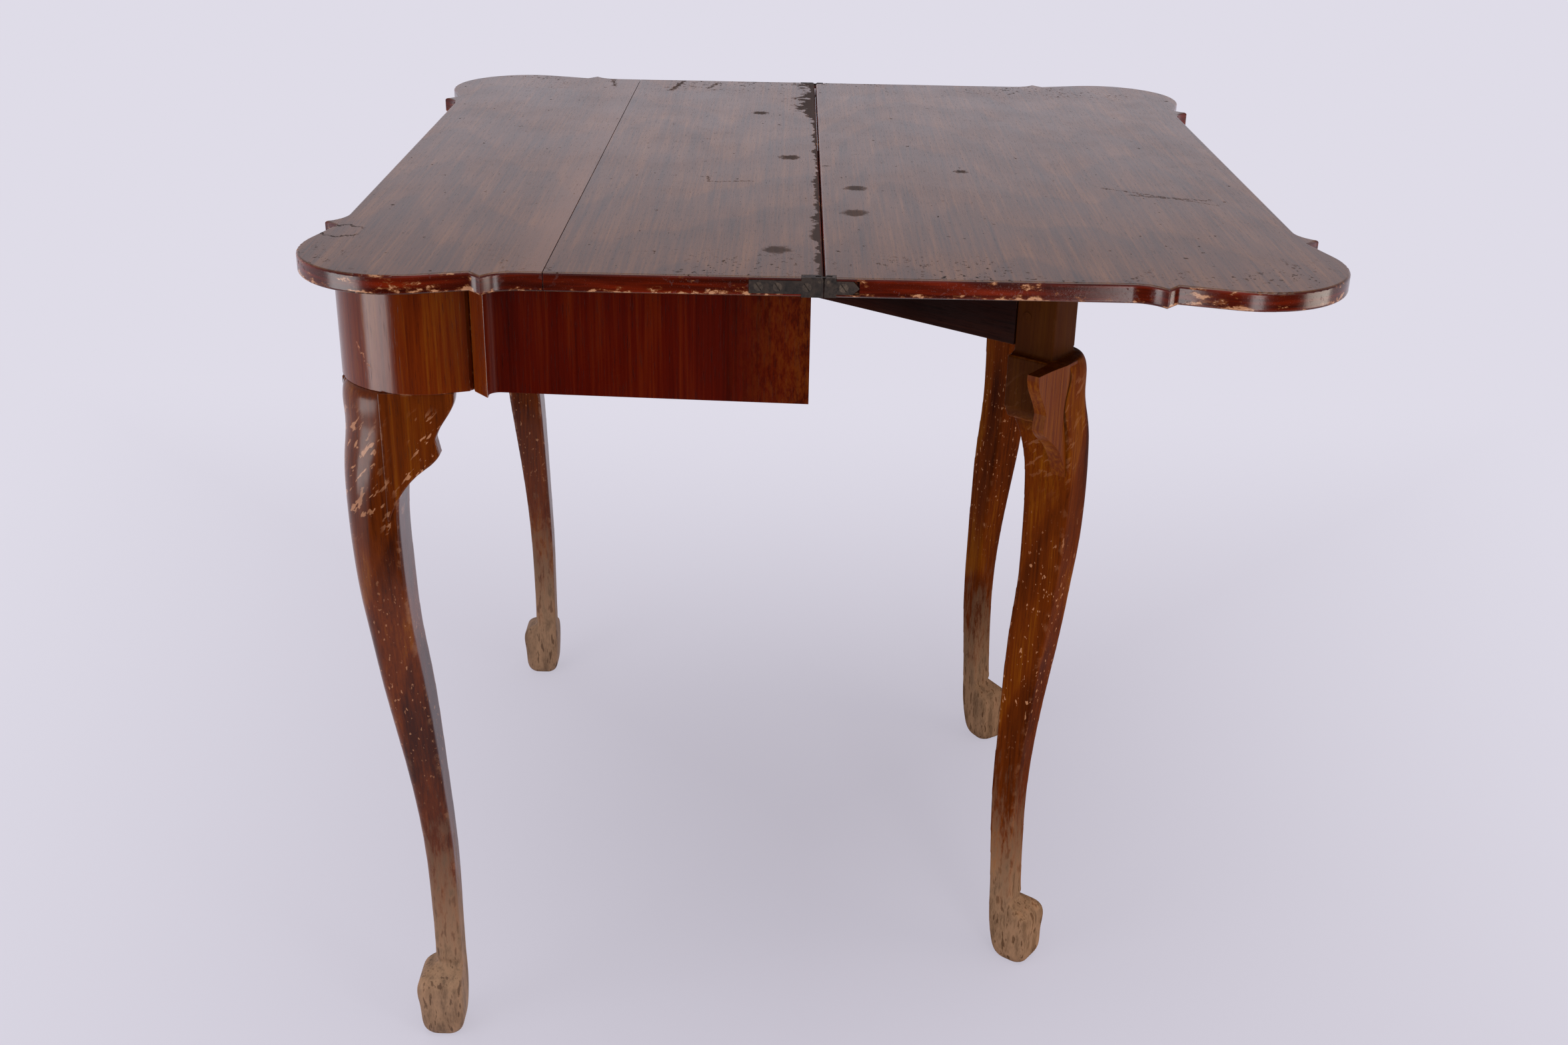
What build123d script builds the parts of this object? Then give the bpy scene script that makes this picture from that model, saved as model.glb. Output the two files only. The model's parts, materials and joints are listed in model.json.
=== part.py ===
from build123d import *
from math import atan, cos, degrees, radians, sin, sqrt, tan
import os

# Folding card table with an eared top, cabriole legs and two swinging back legs.
# Millimetres. +X is to the right as seen from the front, the front faces -Y, +Z is up.
# The origin is on the floor below the middle of the hinge line of the open top.

# Driving sizes of the whole table
table_height = 740.0
half_length = 410.0
leaf_depth = 400.0
top_thickness = 15.0
apron_depth = 85.0
cut_overrun = 20.0
joint_clearance = 0.1

# Outline of the top, one corner, measured from the centre of the round ear
ear_radius = 80.0
ear_flank_angle = 16.0
top_notch_distance = 60.0
top_tip_run = 10.5
top_tip_inset = 2.0
top_sweep_run = 24.0
top_straight_inset = 16.0
top_edge_rounding = 2.2
board_joint_position = 202.5
board_joint_skew = 3.5
board_joint_gap = 0.6

# Outline of the apron, one corner, measured from the centre of the round turret
turret_setback = 11.5
turret_radius = 68.0
turret_flank_angle = 20.0
apron_notch_distance = 43.5
apron_tip_run = 14.0
apron_overhang_at_tip = 17.0
apron_sweep_run = 9.5
apron_overhang = 11.0
break_groove_width = 3.6
rail_thickness = 20.0
front_rail_thickness = 20.0
rail_end_thickness = 12.0
rail_end_setback = 9.0
rail_edge_slope = 2.5
rail_tenon_length = 16.0
rail_tenon_thickness = 7.0
rail_tenon_shoulder = 12.0

# Legs
leg_width = 54.0
leg_axis_offset = 30.0
front_post_size = 34.0
front_post_setback = 5.0
gate_post_size = 37.0
gate_leg_rake_along = 15.0
gate_leg_rake_across = 36.0
gate_leg_crispness = 0.7
gate_leg_drop = 5.0
gate_ledge_width = 7.5
gate_ledge_depth = 57.0
gate_ledge_slope = 12.0
post_top_clearance = 0.3

# Knee brackets
bracket_length = 52.0
bracket_thickness = 12.0
bracket_edge_setback = 1.2
bracket_knee_swell = 2.0
bracket_root = 12.0
bracket_root_overlap = 6.0
front_bracket_setback = 3.0

# Gates
gate_pivot_x = 84.0
gate_pivot_setback = 30.0
gate_rail_thickness = 21.0
gate_rail_rise = 1.5
gate_rail_top_gap = 2.5
gate_swing_right = 53.0
gate_swing_left = 58.0
gate_fingers = 5
finger_clearance = 0.4
knuckle_clearance = 1.8
gate_pin_radius = 4.0
gate_pin_fit = 0.08
gate_pin_head_radius = 7.0
gate_pin_head_height = 2.0
gate_post_clearance = 0.8
back_rail_thickness = 20.0
back_rail_gap = 2.5
gate_tenon_length = 22.0
gate_tenon_thickness = 8.0
gate_tenon_shoulder = 10.0
peg_radius = 3.5
peg_proud = 0.8
gate_peg_shares = (0.28, 0.72)

# Double pin hinges of the top
hinge_pin_offset = 3.2
hinge_pin_drop = 3.1
hinge_half_gap = 0.4
hinge_pin_radius = 1.1
hinge_pin_fit = 0.05
link_end_radius = 2.6
link_thickness = 2.4
link_clearance = 0.4
hinge_head_depth = 8.0
hinge_arm_depth = 3.0
hinge_arm_height = 10.0
hinge_proud = 0.3
fixed_leaf_length = 55.0
fixed_head_length = 16.5
flap_leaf_length = 26.0
flap_head_length = 9.0
flap_leaf_point = 5.0
flap_leaf_point_rise = 4.5
fixed_screw_places = (12.5, 34.0, 48.0)
flap_screw_places = (14.6,)

# Fasteners
hinge_screw_head_radius = 3.4
hinge_screw_head_height = 1.8
hinge_screw_shank_radius = 1.6
hinge_screw_length = 18.0
hinge_screw_slot_width = 0.8
hinge_screw_slot_depth = 0.7
hinge_screw_slot_angle = 35.0
top_screw_head_radius = 4.5
top_screw_head_height = 3.0
top_screw_shank_radius = 2.2
top_screw_length = 34.0
top_screw_reach = 9.0
block_nail_radius = 1.8
block_nail_head_radius = 4.0
block_nail_head_height = 1.2
block_nail_length = 38.0
block_nail_end_distance = 44.0
block_nail_shares = (0.25, 0.75)

# Glue blocks under the top
glue_block_length = 62.0
glue_block_width = 18.0
glue_block_bevel = 6.0
side_block_shares = (0.25, 0.75)
cross_block_shares = (-0.5, 0.5)

# Places worked out from the driving sizes
top_underside = table_height - top_thickness
apron_bottom = top_underside - apron_depth
ear_center_x = half_length - ear_radius
ear_center_y = leaf_depth - ear_radius
turret_center_x = ear_center_x - turret_setback
turret_center_y = ear_center_y - turret_setback
top_straight_x = half_length - top_straight_inset
top_straight_y = leaf_depth - top_straight_inset
rail_face_x = top_straight_x - apron_overhang
rail_face_y = top_straight_y - apron_overhang
apron_break_x = turret_center_x - apron_notch_distance
apron_break_y = turret_center_y - apron_notch_distance
gate_closed_x = rail_face_x - rail_end_thickness - gate_post_clearance - gate_post_size / 2
gate_closed_y = -gate_pivot_setback + (gate_post_size - gate_rail_thickness) / 2
gate_leg_top = apron_bottom - gate_leg_drop
gate_rail_bottom = apron_bottom + gate_rail_rise
gate_rail_top = top_underside - gate_rail_top_gap
gate_rail_height = gate_rail_top - gate_rail_bottom
knuckle_radius = gate_rail_thickness / 2
back_rail_back = -gate_pivot_setback - knuckle_radius - back_rail_gap
back_rail_front = back_rail_back - back_rail_thickness
hinge_pin_height = table_height - hinge_pin_drop

# Leg profile, a row for each height: height share of the leg, then outer face, inner face,
# outer corner radius and side corner radius as shares of the leg width
leg_profile_shares = (
    (0.000, 0.130, -0.400, 0.200, 0.190),
    (0.010, 0.205, -0.460, 0.190, 0.180),
    (0.034, 0.235, -0.500, 0.170, 0.160),
    (0.058, 0.248, -0.512, 0.150, 0.130),
    (0.078, 0.262, -0.512, 0.135, 0.100),
    (0.090, 0.235, -0.508, 0.130, 0.080),
    (0.104, 0.080, -0.502, 0.130, 0.065),
    (0.122, -0.040, -0.497, 0.130, 0.055),
    (0.150, -0.046, -0.495, 0.120, 0.050),
    (0.214, -0.040, -0.499, 0.120, 0.045),
    (0.306, -0.008, -0.491, 0.125, 0.045),
    (0.388, 0.067, -0.452, 0.135, 0.045),
    (0.477, 0.190, -0.402, 0.150, 0.045),
    (0.589, 0.367, -0.319, 0.185, 0.045),
    (0.669, 0.478, -0.235, 0.240, 0.045),
    (0.714, 0.543, -0.212, 0.290, 0.045),
    (0.770, 0.602, -0.195, 0.370, 0.045),
    (0.811, 0.633, -0.190, 0.440, 0.045),
    (0.852, 0.654, -0.208, 0.520, 0.045),
    (0.880, 0.664, -0.250, 0.590, 0.045),
    (0.906, 0.657, -0.320, 0.660, 0.045),
    (0.950, 0.630, -0.366, 0.760, 0.045),
    (1.000, 0.593, -0.370, 0.840, 0.045),
)

# The first sections shape the foot, up to the ankle where the shaft starts
foot_section_count = 8

# Lower edge of a knee bracket, from its free end to the leg: share of the bracket length
# out from the leg's inner face, and share of the apron depth below the top of the leg
bracket_hollow_shares = ((1.00, 0.05), (0.97, 0.12), (0.85, 0.25), (0.74, 0.36), (0.68, 0.45))
bracket_sweep_shares = ((0.73, 0.60), (0.55, 0.72), (0.40, 0.79), (0.24, 0.89), (-0.08, 1.26))


def mirrored_x(shape):
    """The same piece on the left side of the table."""
    return mirror(shape, about=Plane.YZ)


def box_between(low, high):
    """A box from its low corner to its high corner."""
    size = [b - a for a, b in zip(low, high)]
    return Pos(*low) * Box(*size, align=(Align.MIN, Align.MIN, Align.MIN))


def corner_outline(radius, flank, notch, tip_run, tip_out, sweep_run, straight):
    """Edges of one corner from the side straight to the ear's diagonal, about the ear centre.

    Lengths out along +X, with -Y towards the hinge line; the other half is the mirror image.
    """
    angle = radians(flank)
    flank_start = (radius * cos(angle), -radius * sin(angle))
    notch_point = (flank_start[0] - (notch + flank_start[1]) * tan(angle), -notch)
    tip_point = (tip_out, -notch - tip_run)
    sweep_start = (straight, -notch - tip_run - sweep_run)
    diagonal = radius / sqrt(2)
    half_flank = radians((45 - flank) / 2)
    middle = (radius * cos(half_flank), radius * sin(half_flank))
    return [
        TangentArc(sweep_start, tip_point, tangent=(0, 1)),
        Line(tip_point, notch_point),
        Line(notch_point, flank_start),
        ThreePointArc(flank_start, middle, (diagonal, diagonal)),
    ]


def half_outline(center, corner, straight_x, straight_y, back_line):
    """Closed outline of the half of the table in front of the line y = back_line."""
    diagonal_plane = Plane(origin=(0, 0, 0), x_dir=(0, 0, 1), z_dir=(1, -1, 0))
    side = Curve() + corner
    ear = side + mirror(side, about=diagonal_plane)
    right = mirror(Pos(center[0], center[1]) * ear, about=Plane.XZ)
    left = mirrored_x(right)
    side_start = center[1] + (corner[0] @ 0).Y
    lines = [
        Line((straight_x, back_line), (straight_x, -side_start)),
        Line((-straight_x, back_line), (-straight_x, -side_start)),
        Line((straight_x, back_line), (-straight_x, back_line)),
        Line((side_front_start(center, corner), -straight_y),
             (-side_front_start(center, corner), -straight_y)),
    ]
    return make_face(right + left + lines)


def side_front_start(center, corner):
    """Distance from the middle at which the front straight meets its sweep."""
    return center[0] + (corner[0] @ 0).Y


def top_outline():
    """Outline of the fixed half of the top."""
    corner = corner_outline(
        ear_radius, ear_flank_angle, top_notch_distance, top_tip_run,
        ear_radius - top_tip_inset, top_sweep_run, ear_radius - top_straight_inset)
    return half_outline((ear_center_x, ear_center_y), corner,
                        top_straight_x, top_straight_y, -hinge_half_gap)


def apron_outline():
    """Outer outline of the turrets, break strips and rails."""
    tip_out = half_length - top_tip_inset - apron_overhang_at_tip - turret_center_x
    corner = corner_outline(
        turret_radius, turret_flank_angle, apron_notch_distance, apron_tip_run,
        tip_out, apron_sweep_run, rail_face_x - turret_center_x)
    return half_outline((turret_center_x, turret_center_y), corner,
                        rail_face_x, rail_face_y, -rail_end_setback)


def half_top():
    """Fixed half of the top, its outer edges rounded and its hinge corner rounded."""
    slab = Pos(0, 0, top_underside) * extrude(top_outline(), amount=top_thickness)
    outer = slab.edges().filter_by(lambda e: e.center().Y < -hinge_pin_offset)
    slab = fillet(outer.filter_by(lambda e: not is_upright(e)), radius=top_edge_rounding)
    corner = slab.edges().filter_by(Axis.X).sort_by(Axis.Y)[-2:].sort_by(Axis.Z)[-1]
    return fillet(corner, radius=hinge_pin_offset - hinge_half_gap)


def is_upright(edge):
    """True for an edge that runs up the side of the top."""
    return abs((edge @ 0).Z - (edge @ 1).Z) > top_edge_rounding


def screw(length, shank_radius, head_radius, head_height):
    """Countersunk wood screw with its head's face at the origin, pointing down -Z."""
    head = Pos(0, 0, -head_height / 2) * Cone(shank_radius, head_radius, head_height)
    shank = Pos(0, 0, -length / 2) * Cylinder(shank_radius, length)
    return head + shank


def slotted(solid):
    """Cut the driver slot of a hinge screw."""
    slot = Pos(0, 0, -hinge_screw_slot_depth / 2) * Box(
        cut_overrun, hinge_screw_slot_width, hinge_screw_slot_depth)
    return solid - slot


def hinge_screws(places, side, clearance):
    """Screws of one hinge leaf at their distances from the hinge line, pointing in along X."""
    radius = hinge_screw_shank_radius + clearance
    one = screw(hinge_screw_length + clearance, radius,
                hinge_screw_head_radius + clearance, hinge_screw_head_height)
    if not clearance:
        one = Rot(0, 0, hinge_screw_slot_angle) * slotted(one)
    face_x = top_straight_x + hinge_proud
    height = table_height - top_thickness / 2
    turned = Rot(0, 90, 0) * one
    return [Pos(face_x, side * place, height) * turned for place in places]


def leaf_blank(length, head_length, clearance):
    """Outer form of a hinge leaf on the +Y side of the joint: arm on the edge, head at the joint."""
    face_x = top_straight_x + hinge_proud
    arm_low = table_height - top_thickness / 2 - hinge_arm_height / 2
    arm = box_between(
        (face_x - hinge_arm_depth - clearance, hinge_half_gap, arm_low - clearance),
        (face_x + clearance, length + clearance, arm_low + hinge_arm_height + clearance))
    head = box_between(
        (face_x - hinge_head_depth - clearance, hinge_half_gap, top_underside),
        (face_x + clearance, head_length + clearance, table_height))
    return arm + head


def link_slot(side):
    """Room for the link in a leaf's head."""
    middle = top_straight_x + hinge_proud - hinge_head_depth / 2
    half = link_thickness / 2 + joint_clearance
    reach = link_end_radius + link_clearance
    slot = box_between((middle - half, 0, hinge_pin_height - reach),
                       (middle + half, hinge_pin_offset + reach, table_height + cut_overrun))
    return slot if side > 0 else mirror(slot, about=Plane.XZ)


def hinge_pin(side, clearance):
    """Pin of the right hinge on one side of the joint."""
    middle = top_straight_x + hinge_proud - hinge_head_depth / 2
    pin = Rot(0, 90, 0) * Cylinder(hinge_pin_radius + clearance, hinge_head_depth)
    return Pos(middle, side * hinge_pin_offset, hinge_pin_height) * pin


def hinge_leaf(side):
    """Right-hand leaf: side -1 on the fixed half, +1 on the flap."""
    if side > 0:
        blank = leaf_blank(flap_leaf_length, flap_head_length, 0)
        tip = blank.edges().filter_by(Axis.X).sort_by(Axis.Y)[-2:]
        blank = chamfer(tip, length=flap_leaf_point_rise, length2=flap_leaf_point)
        places = flap_screw_places
    else:
        blank = leaf_blank(fixed_leaf_length, fixed_head_length, 0)
        places = fixed_screw_places
    top_edge = blank.edges().filter_by(Axis.X).sort_by(Axis.Y)[:2].sort_by(Axis.Z)[-1]
    blank = fillet(top_edge, radius=hinge_pin_offset - hinge_half_gap)
    if side < 0:
        blank = mirror(blank, about=Plane.XZ)
    leaf = blank - link_slot(side) - hinge_pin(side, joint_clearance / 4)
    for hole in hinge_screws(places, side, joint_clearance / 4):
        leaf = leaf - hole
    return leaf


def leaf_pocket(side):
    """Housing cut in the top's edge for a leaf, without the screw holes."""
    if side > 0:
        return leaf_blank(flap_leaf_length, flap_head_length, joint_clearance)
    blank = leaf_blank(fixed_leaf_length, fixed_head_length, joint_clearance)
    return mirror(blank, about=Plane.XZ)


def cut_leaf_pockets(board, side):
    """Cut both hinge housings and their screw holes into a board."""
    places = flap_screw_places if side > 0 else fixed_screw_places
    cutters = [leaf_pocket(side)] + hinge_screws(places, side, joint_clearance / 4)
    joint_side = box_between((top_straight_x - hinge_head_depth, -hinge_half_gap, top_underside),
                             (half_length, hinge_half_gap, table_height))
    cutters.append(joint_side)
    for cutter in cutters:
        board = board - cutter - mirrored_x(cutter)
    return board


def hinge_link():
    """Link of the right hinge, with its two pin holes."""
    middle = top_straight_x + hinge_proud - hinge_head_depth / 2
    bar = Box(link_thickness, hinge_pin_offset * 2, link_end_radius * 2)
    hole = Rot(0, 90, 0) * Cylinder(hinge_pin_radius + hinge_pin_fit, link_thickness * 2)
    end = Rot(0, 90, 0) * Cylinder(link_end_radius, link_thickness)
    for place in (-hinge_pin_offset, hinge_pin_offset):
        bar = bar + Pos(0, place, 0) * end
    for place in (-hinge_pin_offset, hinge_pin_offset):
        bar = bar - Pos(0, place, 0) * hole
    return Pos(middle, 0, hinge_pin_height) * bar


def apron_solid():
    """Everything inside the apron's outer outline, before it is parted into pieces."""
    return Pos(0, 0, apron_bottom) * extrude(apron_outline(), amount=apron_depth)


def break_groove():
    """Narrow upright groove between the right turret and its side break strip."""
    angle = radians(turret_flank_angle)
    edge_x = turret_center_x + turret_radius * cos(angle) - (
        apron_notch_distance - turret_radius * sin(angle)) * tan(angle)
    height = apron_depth + cut_overrun * 2
    cutter = Rot(0, 0, 45) * Box(break_groove_width, break_groove_width, height)
    return Pos(edge_x, -apron_break_y, apron_bottom + apron_depth / 2) * cutter


def diagonal_swap(shape):
    """Mirror a right-hand side piece about the diagonal of the right turret."""
    plane = Plane(origin=(turret_center_x, -turret_center_y, 0), x_dir=(0, 0, 1),
                  z_dir=(1, 1, 0))
    return mirror(shape, about=plane)


def front_post(clearance):
    """Square post of the right front leg inside the turret."""
    center = leg_axis_offset - front_post_setback
    half = front_post_size / 2 + clearance
    return box_between(
        (turret_center_x + center - half, -turret_center_y - center - half, apron_bottom),
        (turret_center_x + center + half, -turret_center_y - center + half, top_underside))


def side_tenon(clearance):
    """Tenon of the right side rail in the turret."""
    inner = rail_face_x - rail_thickness
    return box_between(
        (inner - clearance, -apron_break_y - rail_tenon_length - clearance,
         apron_bottom + rail_tenon_shoulder - clearance),
        (inner + rail_tenon_thickness + clearance, -apron_break_y,
         top_underside - rail_tenon_shoulder + clearance))


def front_tenon(clearance):
    """Right tenon of the front rail in the turret."""
    inner = -rail_face_y + front_rail_thickness
    return box_between(
        (apron_break_x, inner - rail_tenon_thickness - clearance,
         apron_bottom + rail_tenon_shoulder - clearance),
        (apron_break_x + rail_tenon_length + clearance, inner + clearance,
         top_underside - rail_tenon_shoulder + clearance))


def turret(apron):
    """Round corner block over the right front leg, hollow behind and mortised for the rails."""
    block = apron & box_between((apron_break_x, -leaf_depth, apron_bottom),
                                (half_length, -apron_break_y, top_underside))
    hollow = box_between((apron_break_x, -turret_center_y, apron_bottom),
                         (turret_center_x, -apron_break_y, top_underside))
    block = block - hollow - front_post(joint_clearance)
    block = block - side_tenon(joint_clearance) - front_tenon(joint_clearance)
    return block - break_groove() - diagonal_swap(break_groove())


def side_break_strip(apron):
    """Pointed strip between the right turret and the side rail."""
    tip_y = apron_break_y - apron_tip_run
    strip = apron & box_between(
        (rail_face_x - rail_tenon_shoulder, -apron_break_y, apron_bottom),
        (half_length, -tip_y, top_underside))
    return strip - break_groove()


def side_rail(apron):
    """Right side rail, thinned at its free end where the swinging leg tucks in behind it."""
    tip_y = apron_break_y - apron_tip_run
    inner = rail_face_x - rail_thickness
    low = apron_bottom - rail_edge_slope
    rail = (apron + Pos(0, 0, -rail_edge_slope) * apron) & box_between(
        (inner, -tip_y, low), (half_length, -rail_end_setback, top_underside))
    backing = box_between(
        (inner, -apron_break_y, apron_bottom),
        (rail_face_x - rail_tenon_shoulder, -tip_y, top_underside))
    relief = box_between(
        (inner, back_rail_back, low),
        (rail_face_x - rail_end_thickness, -rail_end_setback, top_underside))
    below = Plane.YZ * make_face([
        Line((-apron_break_y, apron_bottom + rail_edge_slope), (-tip_y, apron_bottom + rail_edge_slope)),
        Line((-tip_y, apron_bottom + rail_edge_slope), (-rail_end_setback, low)),
        Line((-rail_end_setback, low), (-apron_break_y, low)),
        Line((-apron_break_y, low), (-apron_break_y, apron_bottom + rail_edge_slope)),
    ])
    return rail + backing + side_tenon(0) - relief - extrude(below, amount=half_length)


def front_rail(apron):
    """Front rail between the two turrets, with a sweep and a tenon at each end."""
    tip_x = apron_break_x - apron_tip_run
    inner = -rail_face_y + front_rail_thickness
    rail = apron & box_between((-tip_x, -leaf_depth, apron_bottom), (tip_x, inner, top_underside))
    backing = box_between(
        (-apron_break_x, -rail_face_y + rail_tenon_shoulder, apron_bottom),
        (apron_break_x, inner, top_underside))
    return rail + backing + front_tenon(0) + mirrored_x(front_tenon(0))


def leg_section(row, height, rake, crispness):
    """One level section of a leg about the leg's axis, outer faces towards +X and +Y."""
    share, outer, inner, corner, side = row
    width = leg_width
    low = inner * width
    high = outer * width
    big = corner * width * crispness
    small = side * width
    level = share * height
    face = make_face([
        Line((low + small, low), (high - small, low)),
        RadiusArc((high - small, low), (high, low + small), -small),
        Line((high, low + small), (high, high - big)),
        RadiusArc((high, high - big), (high - big, high), -big),
        Line((high - big, high), (low + small, high)),
        RadiusArc((low + small, high), (low, high - small), -small),
        Line((low, high - small), (low, low + small)),
        RadiusArc((low, low + small), (low + small, low), -small),
    ])
    return Pos(rake[0] * (1 - share), rake[1] * (1 - share), level) * face


def cabriole(height, rake, crispness):
    """Turned-out leg from its sole to the given height, about the leg's axis.

    The rake is how far the sole stands out along X and Y; the crispness scales the outer corner.
    """
    sections = [leg_section(row, height, rake, crispness) for row in leg_profile_shares]
    foot = loft(sections[:foot_section_count])
    shaft = loft(sections[foot_section_count - 1:])
    return foot + shaft


def bracket_profile(height):
    """Side view of a knee bracket: Y out from the leg along -Y, and Z."""
    inner = leg_profile_shares[-1][2] * leg_width + bracket_root

    def place(point):
        return (inner - point[0] * bracket_length, height - point[1] * apron_depth)

    hollow = [place(p) for p in bracket_hollow_shares]
    sweep = [place(p) for p in bracket_sweep_shares]
    top_end = (hollow[0][0], height)
    root = (inner + bracket_root_overlap, sweep[-1][1])
    edges = [
        Line(top_end, hollow[0]),
        Spline(*hollow),
        Line(hollow[-1], sweep[0]),
        Spline(*sweep),
        Line(sweep[-1], root),
        Line(root, (root[0], height)),
        Line((root[0], height), top_end),
    ]
    return Plane.YZ * make_face(edges)


def knee_bracket(height, leg, outer):
    """Bracket on the -Y side of a leg, about the leg's axis, its outer face easing into the knee."""
    inner = outer - bracket_thickness
    inner_face = leg_profile_shares[-1][2] * leg_width
    profile = Pos(inner, 0, 0) * extrude(bracket_profile(height), amount=leg_width)
    far = inner_face + bracket_root - bracket_length
    plan = make_face([
        Line((inner, far - cut_overrun), (outer - bracket_edge_setback, far - cut_overrun)),
        Line((outer - bracket_edge_setback, far - cut_overrun), (outer - bracket_edge_setback, far)),
        TangentArc((outer - bracket_edge_setback, far), (outer + bracket_knee_swell, inner_face),
                   tangent=(0, 1)),
        Line((outer + bracket_knee_swell, inner_face), (outer + bracket_knee_swell, leg_width)),
        Line((outer + bracket_knee_swell, leg_width), (inner, leg_width)),
        Line((inner, leg_width), (inner, far - cut_overrun)),
    ])
    return (profile & extrude(plan, amount=table_height)) - leg


def front_leg(rough_leg):
    """Right front leg with its post, placed under the turret."""
    axis = Pos(turret_center_x + leg_axis_offset, -turret_center_y - leg_axis_offset, 0)
    leg = axis * mirror(rough_leg, about=Plane.XZ)
    return leg + front_post(0)


def front_bracket(rough_leg, swap):
    """Knee bracket of the right front leg, under the side rail or, swapped, the front rail."""
    axis = Pos(turret_center_x + leg_axis_offset, -turret_center_y - leg_axis_offset, 0)
    outer = rail_face_x - turret_center_x - leg_axis_offset
    if swap:
        outer = outer - front_bracket_setback
    bracket = axis * mirror(knee_bracket(apron_bottom, rough_leg, outer), about=Plane.XZ)
    return diagonal_swap(bracket) if swap else bracket


def gate_leg(rough_leg):
    """Right swinging leg about its post's axis, closed: ledge block, post and mortise."""
    half = gate_post_size / 2
    post = box_between((-half, -half, gate_leg_top - cut_overrun),
                       (half, half, top_underside - post_top_clearance))
    inner_face = leg_profile_shares[-1][2] * leg_width
    ledge = box_between((inner_face, -half - gate_ledge_width, gate_leg_top - gate_ledge_depth),
                        (half, half, gate_leg_top))
    lower = ledge.edges().filter_by(Axis.X).group_by(Axis.Z)[0].sort_by(Axis.Y)[0]
    ledge = chamfer(lower, length=gate_ledge_slope, length2=gate_ledge_width)
    return rough_leg + ledge + post


def gate_finger_levels():
    """Low and high of each finger of the knuckle joint, from the bottom up."""
    step = gate_rail_height / gate_fingers
    levels = []
    for index in range(gate_fingers):
        low = gate_rail_bottom + index * step
        levels.append((low + finger_clearance / 2, low + step - finger_clearance / 2))
    return levels


def cut_fingers(rail, removed):
    """Cut a rail's end at the right pivot to the fingers that it keeps."""
    for index in removed:
        low, high = gate_finger_levels()[index]
        middle = (low + high) / 2
        tall = high - low + finger_clearance * 2
        room = Pos(gate_pivot_x, -gate_pivot_setback, middle) * Cylinder(
            knuckle_radius + knuckle_clearance, tall)
        rail = rail - room
    return rail


def rail_with_knuckle(low_x, high_x, front_y, back_y, clearance_side):
    """Rail from the right pivot, its end rounded about the pin; clearance_side is +1 or -1."""
    rail = box_between((low_x, front_y, gate_rail_bottom), (high_x, back_y, gate_rail_top))
    square = box_between(
        (gate_pivot_x - knuckle_radius * 2, front_y - cut_overrun, gate_rail_bottom),
        (gate_pivot_x + knuckle_radius * 2, back_y + cut_overrun, gate_rail_top))
    beyond = Pos(clearance_side * knuckle_radius * 2, 0, 0) * square
    knuckle = Pos(gate_pivot_x, -gate_pivot_setback, (gate_rail_bottom + gate_rail_top) / 2)
    knuckle = knuckle * Cylinder(knuckle_radius, gate_rail_height)
    return (rail - beyond) + knuckle


def gate_pin_hole(clearance):
    """Bore for the right gate's pin."""
    middle = (gate_rail_bottom + gate_rail_top) / 2
    bore = Cylinder(gate_pin_radius + clearance, gate_rail_height + cut_overrun)
    return Pos(gate_pivot_x, -gate_pivot_setback, middle) * bore


def gate_tenon(clearance):
    """Tenon of the gate rail in the post, closed position."""
    start = gate_closed_x - gate_post_size / 2
    return box_between(
        (start, -gate_pivot_setback - gate_tenon_thickness / 2 - clearance,
         gate_rail_bottom + gate_tenon_shoulder - clearance),
        (start + gate_tenon_length + clearance,
         -gate_pivot_setback + gate_tenon_thickness / 2 + clearance,
         gate_rail_top - gate_tenon_shoulder + clearance))


def gate_pegs(clearance):
    """Two pegs through the post and the tenon, closed position."""
    front = -gate_pivot_setback - gate_rail_thickness / 2 - peg_proud
    length = gate_post_size + peg_proud + clearance
    x = gate_closed_x - gate_post_size / 2 + gate_tenon_length / 2
    span = gate_rail_height - gate_tenon_shoulder * 2
    pegs = []
    for share in gate_peg_shares:
        z = gate_rail_bottom + gate_tenon_shoulder + span * share
        peg = Rot(90, 0, 0) * Cylinder(peg_radius + clearance, length)
        pegs.append(Pos(x, front + length / 2, z) * peg)
    return pegs


def gate_rail():
    """Right gate rail, closed position, with its even fingers."""
    front = -gate_pivot_setback - gate_rail_thickness / 2
    end = gate_closed_x - gate_post_size / 2
    rail = rail_with_knuckle(gate_pivot_x, end, front, front + gate_rail_thickness, -1)
    rail = cut_fingers(rail, range(0, gate_fingers, 2))
    rail = rail + gate_tenon(0) - gate_pin_hole(gate_pin_fit)
    for peg in gate_pegs(joint_clearance / 4):
        rail = rail - peg
    return rail


def gate_block():
    """Fixed middle block behind the back rail, with the odd fingers at both ends."""
    back = -gate_pivot_setback + gate_rail_thickness / 2
    front = -gate_pivot_setback - gate_rail_thickness / 2
    half = rail_with_knuckle(0, gate_pivot_x, front, back, 1)
    half = cut_fingers(half, range(1, gate_fingers, 2)) - gate_pin_hole(joint_clearance / 4)
    inner = gate_pivot_x - knuckle_radius - knuckle_clearance * 2
    packing = box_between((0, back_rail_back, gate_rail_bottom), (inner, front, gate_rail_top))
    half = half + packing
    block = half + mirrored_x(half)
    for nail in block_nails(joint_clearance / 4):
        block = block - nail
    return block


def gate_pin():
    """Iron pin of the right gate with a flat head under the block."""
    length = gate_rail_height
    middle = (gate_rail_bottom + gate_rail_top) / 2
    shaft = Cylinder(gate_pin_radius, length)
    head = Pos(0, 0, -length / 2 - gate_pin_head_height / 2) * Cylinder(
        gate_pin_head_radius, gate_pin_head_height)
    return Pos(gate_pivot_x, -gate_pivot_setback, middle) * (shaft + head)


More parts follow.
